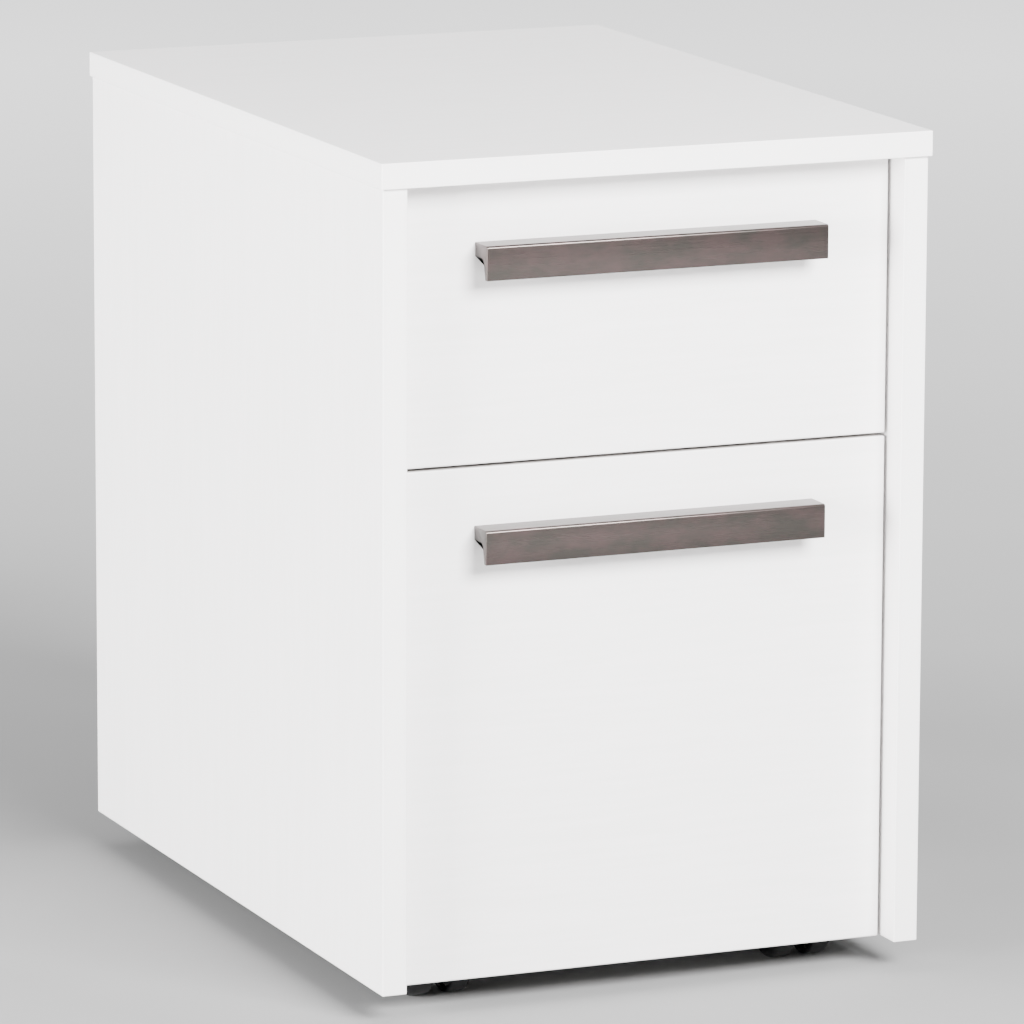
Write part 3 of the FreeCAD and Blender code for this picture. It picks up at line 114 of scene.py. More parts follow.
@dataclass(frozen=True)
class Finish:
    """What every finish shares: a name, its sRGB colour and the shader's typical values."""

    name: str
    colour: str
    roughness: float
    metallic: float = 0.0
    ior: float = 1.5

    def start(self) -> tuple[bpy.types.Material, bpy.types.NodeTree, bpy.types.Node, bpy.types.NodeSocket]:
        """Makes an empty material with its shader.

        Returns:
            The material, its node tree, its shader and the object coordinates' socket.
        """
        material = bpy.data.materials.new(self.name)
        material.use_nodes = True
        tree = material.node_tree
        tree.nodes.clear()
        shader = add_node(tree, "ShaderNodeBsdfPrincipled", {
            "Base Color": linear(self.colour),
            "Roughness": self.roughness,
            "Metallic": self.metallic,
            "IOR": self.ior,
        })
        add_node(tree, "ShaderNodeOutputMaterial", {"Surface": shader.outputs[0]})
        material.diffuse_color = linear(self.colour)
        coords = add_node(tree, "ShaderNodeTexCoord", {})
        return material, tree, shader, coords.outputs["Object"]

    def noise(
        self,
        tree: bpy.types.NodeTree,
        coords: bpy.types.NodeSocket,
        frequency: Sequence[float],
        detail: float = 3.0,
        rough: float = 0.5,
    ) -> bpy.types.NodeSocket:
        """Noise with its own frequency on each axis.

        Args:
            tree: the material's nodes.
            coords: object coordinates.
            frequency: cycles per metre along X, Y and Z.
            detail: octaves of the noise.
            rough: how strong the finer octaves are.

        Returns:
            The noise's value, about 0.5 on average.
        """
        scaled = add_node(tree, "ShaderNodeMapping", {"Vector": coords, "Scale": tuple(frequency)})
        made = add_node(tree, "ShaderNodeTexNoise", {
            "Vector": scaled.outputs[0],
            "Scale": 1.0,
            "Detail": detail,
            "Roughness": rough,
        })
        return made.outputs[0]

    def spread(
        self,
        tree: bpy.types.NodeTree,
        value: bpy.types.NodeSocket,
        low: float,
        high: float,
        limits: tuple[float, float] = (0.3, 0.7),
    ) -> bpy.types.NodeSocket:
        """Carries a noise value to a range of the shader's own, such as roughness.

        Args:
            tree: the material's nodes.
            value: the noise value.
            low: result at the lower limit.
            high: result at the upper limit.
            limits: the noise values that stand for the two ends.

        Returns:
            The carried value, clamped to its range.
        """
        carried = add_node(tree, "ShaderNodeMapRange", {
            "Value": value,
            "From Min": limits[0],
            "From Max": limits[1],
            "To Min": low,
            "To Max": high,
        })
        return carried.outputs[0]

    def blend(
        self,
        tree: bpy.types.NodeTree,
        factor: bpy.types.NodeSocket,
        first: Any,
        second: Any,
    ) -> bpy.types.NodeSocket:
        """Mixes two colours by a factor.

        Args:
            tree: the material's nodes.
            factor: 0 for the first colour and 1 for the second.
            first: a hex value or a colour's socket.
            second: a hex value or a colour's socket.

        Returns:
            The mixed colour.
        """
        ends = [linear(end) if isinstance(end, str) else end for end in (first, second)]
        mix = add_node(tree, "ShaderNodeMix", {0: factor, 6: ends[0], 7: ends[1]}, data_type="RGBA")
        return mix.outputs[2]

    def relief(
        self,
        tree: bpy.types.NodeTree,
        shader: bpy.types.Node,
        height: bpy.types.NodeSocket,
        depth: float,
        strength: float = 1.0,
    ) -> None:
        """Puts a height in the shader's bump, depth being its full height in metres."""
        bump = add_node(tree, "ShaderNodeBump", {"Height": height, "Distance": depth, "Strength": strength})
        tree.links.new(bump.outputs[0], shader.inputs["Normal"])


@dataclass(frozen=True)
class Melamine(Finish):
    """Melamine-faced board: resin paper pressed with a shallow wood grain, and 1 mm edge bands.

    The resin gives a cool white with a soft satin gloss. The press plate leaves pores and ridges
    that run one way, so the gloss breaks up in short streaks along the grain.
    """

    grain: Axis = Axis.X
    pore_width: float = 1.6 * MM
    pore_length: float = 14.0 * MM
    pore_depth: float = 0.05 * MM
    relief_strength: float = 0.4
    ridge_length: float = 84.0 * MM
    ridge_width: float = 4.8 * MM
    cloud_frequency: float = 6.0
    cloud_share: float = 0.5
    gloss_below: float = 0.04
    gloss_above: float = 0.06
    light: str = "F1EEEE"
    dark: str = "ECEAE9"
    band: float = 1.0 * MM
    joint: float = 0.22 * MM
    joint_colour: str = "D6D4D3"
    # The bands' own white by default; a darker value given here is painted shade for the gaps round a board
    band_colour: str = "F1EFEE"
    band_start: float = 2.0 * MM
    band_surface: tuple[float, float] = (0.05 * MM, 0.15 * MM)
    low: tuple[float, float, float] = (0.0, 0.0, 0.0)
    high: tuple[float, float, float] = (1.0, 1.0, 1.0)

    def depths(
        self,
        tree: bpy.types.NodeTree,
        coords: bpy.types.NodeSocket,
    ) -> tuple[bpy.types.NodeSocket, bpy.types.NodeSocket]:
        """Distances from the board's nearest edge, in its plane, and from its nearest face, in metres.

        With p the point, c the board's centre and h its half sizes, the first is the smallest of
        h - |p - c| over the board's two long axes, and the second is the same along its thickness.

        Args:
            tree: the material's nodes.
            coords: object coordinates.

        Returns:
            The sockets of both distances.
        """
        centre = [(a + b) / 2 for a, b in zip(self.low, self.high)]
        half = [(b - a) / 2 for a, b in zip(self.low, self.high)]
        thin = half.index(min(half))
        offset = add_node(tree, "ShaderNodeVectorMath", {0: coords, 1: centre}, operation="SUBTRACT")
        size = add_node(tree, "ShaderNodeVectorMath", {0: offset.outputs[0]}, operation="ABSOLUTE")
        inside = add_node(tree, "ShaderNodeVectorMath", {0: half, 1: size.outputs[0]}, operation="SUBTRACT")
        parts = add_node(tree, "ShaderNodeSeparateXYZ", {0: inside.outputs[0]})
        first, second = [parts.outputs[i] for i in range(3) if i != thin]
        nearest = add_node(tree, "ShaderNodeMath", {0: first, 1: second}, operation="MINIMUM")
        return nearest.outputs[0], parts.outputs[thin]

    def build(self) -> bpy.types.Material:
        """Makes the material.

        Returns:
            The finished material.
        """
        material, tree, shader, coords = self.start()
        along, across = 1 / self.pore_length, 1 / self.pore_width
        # Pores are really about 0.4 mm wide. They are drawn 1.6 mm wide, so that they still show.
        pores = self.noise(tree, coords, self.grain.stretched(along, across), 4.0, 0.55)
        ridges = self.noise(tree, coords, self.grain.stretched(1 / self.ridge_length, 1 / self.ridge_width))
        cloud = self.noise(tree, coords, (self.cloud_frequency,) * 3, 2.0)
        tint = self.spread(tree, ridges, 0.0, 1.0, (0.35, 0.65))
        tone = self.blend(tree, tint, self.light, self.dark)
        clouded = self.blend(tree, self.spread(tree, cloud, 0.0, self.cloud_share), tone, self.colour)
        edge, face = self.depths(tree, coords)
        inner = self.spread(tree, edge, 0.0, 1.0, (self.band, self.band + self.joint))
        outer = self.spread(tree, edge, 1.0, 0.0, (self.band - self.joint, self.band))
        gap = add_node(tree, "ShaderNodeMath", {0: inner, 1: outer}, operation="ADD")
        faced = self.blend(tree, gap.outputs[0], self.joint_colour, clouded)
        # The edge surfaces, from band_start behind either face, take the band colour; on the drawer fronts
        # that colour is a grey painted shade that darkens the gaps round the fronts
        banded = self.spread(tree, face, 0.0, 1.0, (self.band_start, self.band_start + self.band))
        outmost = self.spread(tree, edge, 1.0, 0.0, self.band_surface)
        on_band = add_node(tree, "ShaderNodeMath", {0: banded, 1: outmost}, operation="MULTIPLY")
        coloured = self.blend(tree, on_band.outputs[0], faced, self.band_colour)
        tree.links.new(coloured, shader.inputs["Base Color"])
        low, high = self.roughness - self.gloss_below, self.roughness + self.gloss_above
        gloss = self.spread(tree, pores, low, high)
        tree.links.new(gloss, shader.inputs["Roughness"])
        height = add_node(tree, "ShaderNodeMath", {0: pores, 1: ridges}, operation="ADD")
        flattened = add_node(tree, "ShaderNodeMath", {0: height.outputs[0], 1: inner}, operation="MULTIPLY")
        self.relief(tree, shader, flattened.outputs[0], self.pore_depth, self.relief_strength)
        return material


@dataclass(frozen=True)
class PlainBoard(Finish):
    """Plain white faced board of the drawer boxes: smooth paper foil with a faint orange peel."""

    second: str = "E2E1DE"
    peel: float = 3.0 * MM
    peel_depth: float = 0.04 * MM
    cloud_frequency: float = 9.0
    gloss_swing: float = 0.06

    def build(self) -> bpy.types.Material:
        """Makes the material.

        Returns:
            The finished material.
        """
        material, tree, shader, coords = self.start()
        cloud = self.noise(tree, coords, (self.cloud_frequency,) * 3)
        peel = self.noise(tree, coords, (1 / self.peel,) * 3, 2.0)
        tone = self.blend(tree, self.spread(tree, cloud, 0.0, 1.0), self.colour, self.second)
        tree.links.new(tone, shader.inputs["Base Color"])
        low, high = self.roughness - self.gloss_swing, self.roughness + self.gloss_swing
        gloss = self.spread(tree, peel, low, high)
        tree.links.new(gloss, shader.inputs["Roughness"])
        self.relief(tree, shader, peel, self.peel_depth, 0.5)
        return material


@dataclass(frozen=True)
class SatinNickel(Finish):
    """Zinc casting plated with dark satin nickel: brushed lengthways, with a cloudy warm patina."""

    warm: str = "534847"
    cool: str = "474441"
    brushing: Axis = Axis.X
    line: float = 0.5 * MM
    line_length: float = 60.0 * MM
    line_depth: float = 0.006 * MM
    line_share: float = 0.14
    patch_frequency: tuple[float, float, float] = (34.0, 70.0, 70.0)
    gloss_below: float = 0.02
    gloss_above: float = 0.04

    def build(self) -> bpy.types.Material:
        """Makes the material.

        Returns:
            The finished material.
        """
        material, tree, shader, coords = self.start()
        # Brush lines are really about 0.05 mm apart. They are drawn 0.5 mm apart, so that they show.
        stretched = self.brushing.stretched(1 / self.line_length, 1 / self.line)
        lines = self.noise(tree, coords, stretched, 4.0, 0.6)
        patches = self.noise(tree, coords, self.patch_frequency, 3.0, 0.6)
        tint = self.spread(tree, patches, 0.0, 1.0, (0.38, 0.62))
        patina = self.blend(tree, tint, self.warm, self.cool)
        streaked = self.blend(tree, self.spread(tree, lines, 0.0, self.line_share), patina, self.colour)
        tree.links.new(streaked, shader.inputs["Base Color"])
        low, high = self.roughness - self.gloss_below, self.roughness + self.gloss_above
        gloss = self.spread(tree, lines, low, high)
        tree.links.new(gloss, shader.inputs["Roughness"])
        self.relief(tree, shader, lines, self.line_depth, 0.4)
        return material


@dataclass(frozen=True)
class ZincPlate(Finish):
    """Zinc-plated steel: bluish silver with faint passivation clouds and fine rolling lines."""

    second: str = "B3AE9C"
    rolling: Axis = Axis.Y
    line: float = 0.8 * MM
    line_depth: float = 0.01 * MM
    line_frequency: float = 12.0
    cloud_frequency: float = 45.0
    gloss_below: float = 0.08
    gloss_above: float = 0.10

    def build(self) -> bpy.types.Material:
        """Makes the material.

        Returns:
            The finished material.
        """
        material, tree, shader, coords = self.start()
        clouds = self.noise(tree, coords, (self.cloud_frequency,) * 3, 4.0, 0.6)
        lines = self.noise(tree, coords, self.rolling.stretched(self.line_frequency, 1 / self.line))
        tone = self.blend(tree, self.spread(tree, clouds, 0.0, 1.0, (0.4, 0.68)), self.colour, self.second)
        tree.links.new(tone, shader.inputs["Base Color"])
        low, high = self.roughness - self.gloss_below, self.roughness + self.gloss_above
        gloss = self.spread(tree, lines, low, high)
        tree.links.new(gloss, shader.inputs["Roughness"])
        self.relief(tree, shader, lines, self.line_depth, 0.5)
        return material


@dataclass(frozen=True)
class MouldedNylon(Finish):
    """Injection-moulded nylon: even black, with a fine eroded grain that dulls or sharpens its gloss."""

    second: str = "1C1C1E"
    grit: float = 1.2 * MM
    depth: float = 0.02 * MM
    dust_frequency: float = 55.0
    gloss_below: float = 0.04
    gloss_above: float = 0.12

    def build(self) -> bpy.types.Material:
        """Makes the material.

        Returns:
            The finished material.
        """
        material, tree, shader, coords = self.start()
        grit = self.noise(tree, coords, (1 / self.grit,) * 3, 3.0, 0.6)
        dust = self.noise(tree, coords, (self.dust_frequency,) * 3, 4.0, 0.6)
        tone = self.blend(tree, self.spread(tree, dust, 0.0, 1.0, (0.45, 0.75)), self.colour, self.second)
        tree.links.new(tone, shader.inputs["Base Color"])
        low, high = self.roughness - self.gloss_below, self.roughness + self.gloss_above
        gloss = self.spread(tree, dust, low, high)
        tree.links.new(gloss, shader.inputs["Roughness"])
        self.relief(tree, shader, grit, self.depth, 0.6)
        return material


@dataclass(frozen=True)
class Beech(Finish):
    """Turned beech of the dowels: pinkish brown with short dark flecks along the grain."""

    fleck: str = "9C6F48"
    fleck_along: float = 300.0
    fleck_across: float = 1500.0
    fleck_depth: float = 0.05 * MM

    def build(self) -> bpy.types.Material:
        """Makes the material.

        Returns:
            The finished material.
        """
        material, tree, shader, coords = self.start()
        flecks = self.noise(tree, coords, Axis.Z.stretched(self.fleck_along, self.fleck_across))
        tone = self.blend(tree, self.spread(tree, flecks, 0.0, 1.0, (0.5, 0.7)), self.colour, self.fleck)
        tree.links.new(tone, shader.inputs["Base Color"])
        self.relief(tree, shader, flecks, self.fleck_depth, 0.5)
        return material


# ---- surfaces ----


def make_piece(
    name: str,
    points: np.ndarray,
    faces: np.ndarray,
    material: bpy.types.Material,
    smooth: bool = True,
) -> bpy.types.Object:
    """Puts a surface into a new object at the origin.

    Args:
        name: the piece's name.
        points: vertex places, one row each.
        faces: vertex numbers of each four-sided face; a repeated number closes it to a triangle.
        material: the piece's finish.
        smooth: whether faces shade smoothly into each other, up to the sharp angle.

    Returns:
        The new object.
    """
    mesh = bpy.data.meshes.new(name)
    rows = [tuple(dict.fromkeys(row)) for row in faces.tolist()]
    mesh.from_pydata(points.tolist(), [], [row for row in rows if len(row) > 2])
    mesh.validate()
    mesh.materials.append(material)
    mesh.polygons.foreach_set("use_smooth", np.full(len(mesh.polygons), smooth))
    mesh.update()
    if smooth:
        mesh.set_sharp_from_angle(angle=SHARP_ANGLE)
    piece = bpy.data.objects.new(name, mesh)
    bpy.context.scene.collection.objects.link(piece)
    return piece


def grid_faces(rows: int, columns: int, wrap: bool) -> np.ndarray:
    """Faces of a grid of points, row after row.

    Args:
        rows: number of point rows.
        columns: number of points in a row.
        wrap: whether the last column joins the first.

    Returns:
        Four vertex numbers for each face.
    """
    row = np.arange(rows - 1)[:, None]
    column = np.arange(columns if wrap else columns - 1)[None, :]
    after = (column + 1) % columns
    corners = (row * columns + column, row * columns + after, (row + 1) * columns + after)
    last = (row + 1) * columns + column
    return np.stack([np.broadcast_to(c, last.shape).ravel() for c in (*corners, last)], axis=1)


def turned(profile: np.ndarray, centre: Sequence[float], steps: int, side: int = 1) -> Surface:
    """A surface of revolution about an axis along X.

    A profile point (a, r) turned by the angle t is centre + (side a, r cos t, r sin t). Where r is 0
    the row is a pole, and its faces close to triangles.

    Args:
        profile: rows of (distance along the axis, radius).
        centre: the axis point from which the distances run.
        steps: number of points round the axis.
        side: 1 for an axis towards +X and -1 for one towards -X.

    Returns:
        The points and the faces.
    """
    angle = np.linspace(0.0, 2 * math.pi, steps, endpoint=False)
    a, r = profile[:, 0, None], profile[:, 1, None]
    shape = (len(profile), steps)
    x = np.broadcast_to(side * a, shape)
    points = np.stack([x, r * np.cos(angle), r * np.sin(angle) * np.ones_like(a)], axis=-1)
    points = points.reshape(-1, 3) + np.asarray(centre)
    faces = grid_faces(len(profile), steps, True)
    numbers = np.arange(len(points)).reshape(shape)
    poles = profile[:, 1] < POLE
    numbers[poles] = numbers[poles][:, :1]
    faces = numbers.ravel()[faces]
    return points, faces if side > 0 else faces[:, ::-1]


def arc(centre: Sequence[float], radius: float, start: float, end: float, steps: int) -> np.ndarray:
    """Points of a flat arc: centre + radius (cos t, sin t), t in degrees from start to end."""
    t = np.radians(np.linspace(start, end, steps))
    return np.stack([centre[0] + radius * np.cos(t), centre[1] + radius * np.sin(t)], axis=1)


def rounded(corners: np.ndarray, radii: Sequence[float], steps: int) -> np.ndarray:
    """Rounds the corners of a closed flat outline.

    At a corner with unit edges a (back) and b (ahead) and half angle h between them, the arc's
    centre is corner + (a + b) / |a + b| * radius / sin h, and the arc runs between the feet of
    that centre on the two edges.

    Args:
        corners: the outline's corners in order.
        radii: one radius for each corner; 0 keeps it sharp.
        steps: points on each arc.

    Returns:
        The rounded outline's points.
    """
    outline = []
    for index, (corner, radius) in enumerate(zip(corners, radii)):
        if radius <= 0:
            outline.append(corner[None])
            continue
        back = corners[index - 1] - corner
        ahead = corners[(index + 1) % len(corners)] - corner
        back, ahead = back / np.linalg.norm(back), ahead / np.linalg.norm(ahead)
        half = math.acos(float(np.clip(back @ ahead, -1, 1))) / 2
        middle = (back + ahead) / np.linalg.norm(back + ahead)
        centre = corner + middle * radius / math.sin(half)
        foot = radius / math.tan(half)
        first, last = corner + back * foot - centre, corner + ahead * foot - centre
        t = np.linspace(0, 1, steps)[:, None]
        blend = (1 - t) * first + t * last
        outline.append(centre + blend / np.linalg.norm(blend, axis=1, keepdims=True) * radius)
    return np.concatenate(outline)


def offset_inwards(outline: np.ndarray, distance: float) -> np.ndarray:
    """Moves each point of a closed outline along the mean normal of its two edges.

    With h half the angle by which the outline turns at a point, the point moves distance / cos h, so
    that both edges move by the distance. The stretch is held to 2 at a very sharp corner.

    Args:
        outline: the outline's points, anticlockwise.
        distance: how far its edges move inwards.

    Returns:
        The moved points.
    """
    ahead = np.roll(outline, -1, axis=0) - outline
    ahead /= np.linalg.norm(ahead, axis=1, keepdims=True)
    tangent = ahead + np.roll(ahead, 1, axis=0)
    tangent /= np.linalg.norm(tangent, axis=1, keepdims=True)
    turn = tangent[:, 0] * ahead[:, 1] - tangent[:, 1] * ahead[:, 0]
    stretch = 1 / np.sqrt(np.maximum(1 - turn ** 2, 0.25))
    normal = np.stack([-tangent[:, 1], tangent[:, 0]], axis=1)
    return outline + normal * distance * stretch[:, None]


def bar(outline: np.ndarray, low: float, high: float, bevel: float, steps: int = 4) -> Surface:
    """A bar along X with a flat section of (y, z) points, its ends rounded by a small bevel.

    Near an end the section is moved inwards by bevel (1 - cos t) while x runs to bevel (1 - sin t)
    from the end, for t from 90 degrees down to 0, and a fan about the middle closes it.

    Args:
        outline: the section's points, anticlockwise seen from +X.
        low: x of one end.
        high: x of the other end.
        bevel: the end rounding.
        steps: number of sections in each end rounding.

    Returns:
        The points and the faces.
    """
    quarter = np.radians(np.linspace(0, 90, steps))
    inset = bevel * (1 - np.cos(quarter))
    reach = bevel * (1 - np.sin(quarter))
    sections = [(low + x, d) for x, d in zip(reach[::-1], inset[::-1])]
    mirrored = [(high + low - x, d) for x, d in sections[::-1]]
    rings = []
    for x, distance in sections + mirrored:
        flat = offset_inwards(outline, distance)
        rings.append(np.column_stack([np.full(len(flat), x), flat]))
    count = len(outline)
    middle = outline.mean(axis=0)
    points = np.concatenate(rings + [[[low, *middle]], [[high, *middle]]])
    faces = [grid_faces(len(rings), count, True)]
    around = np.arange(count)
    after = (around + 1) % count
    start, end = len(points) - 2, len(points) - 1
    last = (len(rings) - 1) * count
    faces.append(np.stack([around, np.full(count, start), np.full(count, start), after], axis=1))
    faces.append(np.stack([last + after, np.full(count, end), np.full(count, end), last + around], axis=1))
    return points, np.concatenate(faces)


def joined(parts: Sequence[Surface]) -> Surface:
    """Puts several surfaces into one.

    Args:
        parts: the points and faces of each surface.

    Returns:
        All points and all faces, each surface's vertex numbers following the last one's.
    """
    counts = np.cumsum([0] + [len(points) for points, _ in parts[:-1]])
    faces = [faces + start for start, (_, faces) in zip(counts, parts)]
    return np.concatenate([points for points, _ in parts]), np.concatenate(faces)


# ---- finishes of this pedestal ----


def board_finish(node: str, grain: Axis, **options: str) -> bpy.types.Material:
    """The melamine finish of one board, its edge bands placed by the board's own box."""
    low, high = (tuple(corner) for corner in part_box(node))
    return Melamine(f"melamine_{node}", "EFEDED", 0.42, grain=grain, low=low, high=high, **options).build()


@dataclass
class Palette:
    """The finishes that several pieces share."""

    box_board: bpy.types.Material = field(init=False)
    base: bpy.types.Material = field(init=False)
    handle: bpy.types.Material = field(init=False)
    runner: bpy.types.Material = field(init=False)
    fastener: bpy.types.Material = field(init=False)
    dowel: bpy.types.Material = field(init=False)
    rail: bpy.types.Material = field(init=False)
    castor: bpy.types.Material = field(init=False)
    wheel: bpy.types.Material = field(init=False)
    axle: bpy.types.Material = field(init=False)

    def __post_init__(self) -> None:
        """Builds each finish once."""
        self.box_board = PlainBoard("foil_board", "E9E8E6", 0.45).build()
        self.base = PlainBoard("white_hardboard", "E4E3DF", 0.38, second="DAD8D2").build()
        self.handle = SatinNickel("satin_nickel", "4E4846", 0.28, metallic=1.0).build()
        self.runner = ZincPlate("rolled_zinc_steel", "C3C6C9", 0.30, metallic=1.0).build()
        self.fastener = ZincPlate("zinc_fastener", "BDBBB2", 0.34, metallic=1.0, line=0.5 * MM).build()
        self.dowel = Beech("turned_beech", "C39A6E", 0.6).build()
        self.rail = ZincPlate("anodised_rail", "D0D1D3", 0.28, metallic=1.0, second="C6C8CB").build()
        self.castor = MouldedNylon("grained_nylon", "0E0E0F", 0.42).build()
        self.wheel = MouldedNylon("polished_nylon", "0A0A0B", 0.16, second="121214", depth=0.006 * MM).build()
        self.axle = ZincPlate("bright_axle_steel", "C9CBCD", 0.25, metallic=1.0, rolling=Axis.X).build()


def dress(node: str, material: bpy.types.Material) -> None:
    """Gives a CAD node its finish.

    Args:
        node: the node's name.
        material: the finish that takes the place of its plain one.
    """
    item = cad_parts[node]
    item.data.materials.clear()
    item.data.materials.append(material)


def dress_all(nodes: Iterable[str], material: bpy.types.Material) -> None:
    """Gives several CAD nodes one finish."""
    for node in nodes:
        dress(node, material)


# ---- sub-assemblies ----


@dataclass
class Carcass:
    """The board case with its joint fittings."""

    palette: Palette
    grains: dict[str, Axis] = field(default_factory=lambda: {
        "top_panel": Axis.X,
        "left_side_panel": Axis.Z,
        "right_side_panel": Axis.Z,
        "bottom_panel": Axis.X,
        "back_panel": Axis.Z,
    })

    def build(self) -> None:
        """Dresses the boards and their fittings."""
        for node, grain in self.grains.items():
            dress(node, board_finish(node, grain))
        dress_all(("cam_bolts", "cam_locks", "cabinet_runner_screws", "castor_screws"), self.palette.fastener)
        dress("wood_dowels", self.palette.dowel)
        LOG.info("carcass: %d boards dressed", len(self.grains))


@dataclass
class BarHandle:
    """A bar handle: a web out from the drawer front, with a tapering lip down from its front edge."""

    drawer: str
    material: bpy.types.Material
    web: float = 10.0 * MM
    lip_upper: float = 7.0 * MM
    lip_lower: float = 3.6 * MM
    upper_radius: float = 1.8 * MM
    inner_radius: float = 3.0 * MM
    lip_radius: float = 0.7 * MM
    end_bevel: float = 0.5 * MM
    corner_steps: int = 6

    def section(self, low: Vector, high: Vector) -> np.ndarray:
        """The handle's (y, z) outline, anticlockwise seen from +X: web foot, top, face, lip and underside.

        Args:
            low: lowest corner of the handle's box.
            high: highest corner of the handle's box.

        Returns:
            The outline's points.
        """
        corners = np.array([
            (high.y, high.z),
            (low.y, high.z),
            (low.y, low.z),
            (low.y + self.lip_lower, low.z),
            (low.y + self.lip_upper, high.z - self.web),
            (high.y, high.z - self.web),
        ])
        radii = (0.0, self.upper_radius, self.lip_radius, self.lip_radius, self.inner_radius, 0.0)
        return rounded(corners, radii, self.corner_steps)

    def build(self) -> bpy.types.Object:
        """Makes the handle where its CAD node is, rides it on its drawer and hides the node.

        Returns:
            The handle.
        """
        node = f"{self.drawer}_handle"
        low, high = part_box(node)
        points, faces = bar(self.section(low, high), low.x, high.x, self.end_bevel)
        piece = make_piece(f"{self.drawer}_bar_handle", points, faces, self.material)
        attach(piece, f"{self.drawer}_drawer")
        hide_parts(node)
        LOG.info("%s: %d faces", piece.name, len(piece.data.polygons))
        return piece


@dataclass
class BallCages:
    """The ball rows inside one runner, each row of balls held by a thin steel strip.

    One pair of rows rolls between the cabinet and middle members, and one pair between the middle
    and drawer members. Each row keeps to the half of the runner that both its members still cover
    when the drawer is right out.
    """

    drawer: str
    side: str
    material: bpy.types.Material
    sheet: float = 1.2 * MM
    play: float = 0.05 * MM
    strip: float = 0.5 * MM
    strip_width: float = 3.6 * MM
    count: int = 8
    end_gap: float = 6.0 * MM
    meridian_steps: int = 9
    ball_steps: int = 14
    strip_bevel: float = 0.1 * MM

    def row(self, outer: str, inner: str, level: int, rear: bool) -> Surface:
        """One row between the flanges of two members.

        With a and b the heights of the outer member's inner face and the inner member's outer face
        from the runner's middle, the balls' centres are at (a + b) / 2 and their radius is
        (a - b) / 2 less the play. Across, they are in the middle of the flanges' overlap.

        Args:
            outer: node of the member outside the row.
            inner: node of the member inside it.
            level: 1 for the upper flanges and -1 for the lower ones.
            rear: whether the row keeps to the rear half.

        Returns:
            The points and the faces.
        """
        low_out, high_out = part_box(outer)
        low_in, high_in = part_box(inner)
        middle = (low_out.z + high_out.z) / 2
        far = high_out.z - middle - self.sheet
        near = high_in.z - middle
        z = middle + level * (far + near) / 2
        radius = (far - near) / 2 - self.play
        x = (max(low_out.x, low_in.x) + min(high_out.x, high_in.x)) / 2
        half = (low_out.y + high_out.y) / 2
        start, end = (half, high_out.y) if rear else (low_out.y, half)
        start, end = start + self.end_gap, end - self.end_gap
        meridian = np.maximum(arc((0.0, 0.0), radius, 180, 0, self.meridian_steps), [-radius, 0.0])
        places = np.linspace(start + radius, end - radius, self.count)
        balls = [turned(meridian, (x, y, z), self.ball_steps) for y in places]
        w, t = self.strip_width / 2, self.strip / 2
        outline = np.array([(x - w, z - t), (x + w, z - t), (x + w, z + t), (x - w, z + t)])
        points, faces = bar(outline, start, end, self.strip_bevel)
        return joined([*balls, (points[:, [1, 0, 2]], faces[:, ::-1])])

    def build(self) -> bpy.types.Object:
        """Makes the runner's four rows, which ride on its middle member.

        Returns:
            The rows as one piece.
        """
        stem = f"{self.drawer}_{self.side}"
        names = [f"{stem}_{member}_runner" for member in ("cabinet", "middle", "drawer")]
        pairs = ((names[0], names[1], True), (names[1], names[2], False))
        rows = [self.row(outer, inner, level, rear) for outer, inner, rear in pairs for level in (1, -1)]
        points, faces = joined(rows)
        piece = make_piece(f"{stem}_ball_cages", points, faces, self.material)
        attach(piece, f"{self.drawer}_middle_runners")
        LOG.info("%s: %d faces", piece.name, len(piece.data.polygons))
        return piece


@dataclass
class Drawer:
    """One drawer: its front, box, runners and handle."""

    name: str
    palette: Palette

    def build(self) -> None:
        """Dresses the drawer's nodes and makes its handle."""
        front = f"{self.name}_drawer_front"
        # The fronts' edge bands are painted grey: painted shade on all four edges that darkens the gaps
        # between and beside the fronts
        dress(front, board_finish(front, Axis.X, band_colour="B9B5B2"))
        boards = (f"{self.name}_drawer_{part}" for part in ("back", "left_side", "right_side"))
        dress_all(boards, self.palette.box_board)
        dress(f"{self.name}_drawer_base", self.palette.base)
        fasteners = ("handle_screws", "drawer_cam_bolts", "drawer_cam_locks", "drawer_runner_screws")
        dress_all((f"{self.name}_{kind}" for kind in fasteners), self.palette.fastener)
        for side in ("left", "right"):
            members = (f"{self.name}_{side}_{member}_runner" for member in ("cabinet", "middle", "drawer"))
            dress_all(members, self.palette.runner)
            BallCages(self.name, side, self.palette.axle).build()
        BarHandle(self.name, self.palette.handle).build()
        LOG.info("%s drawer dressed", self.name)


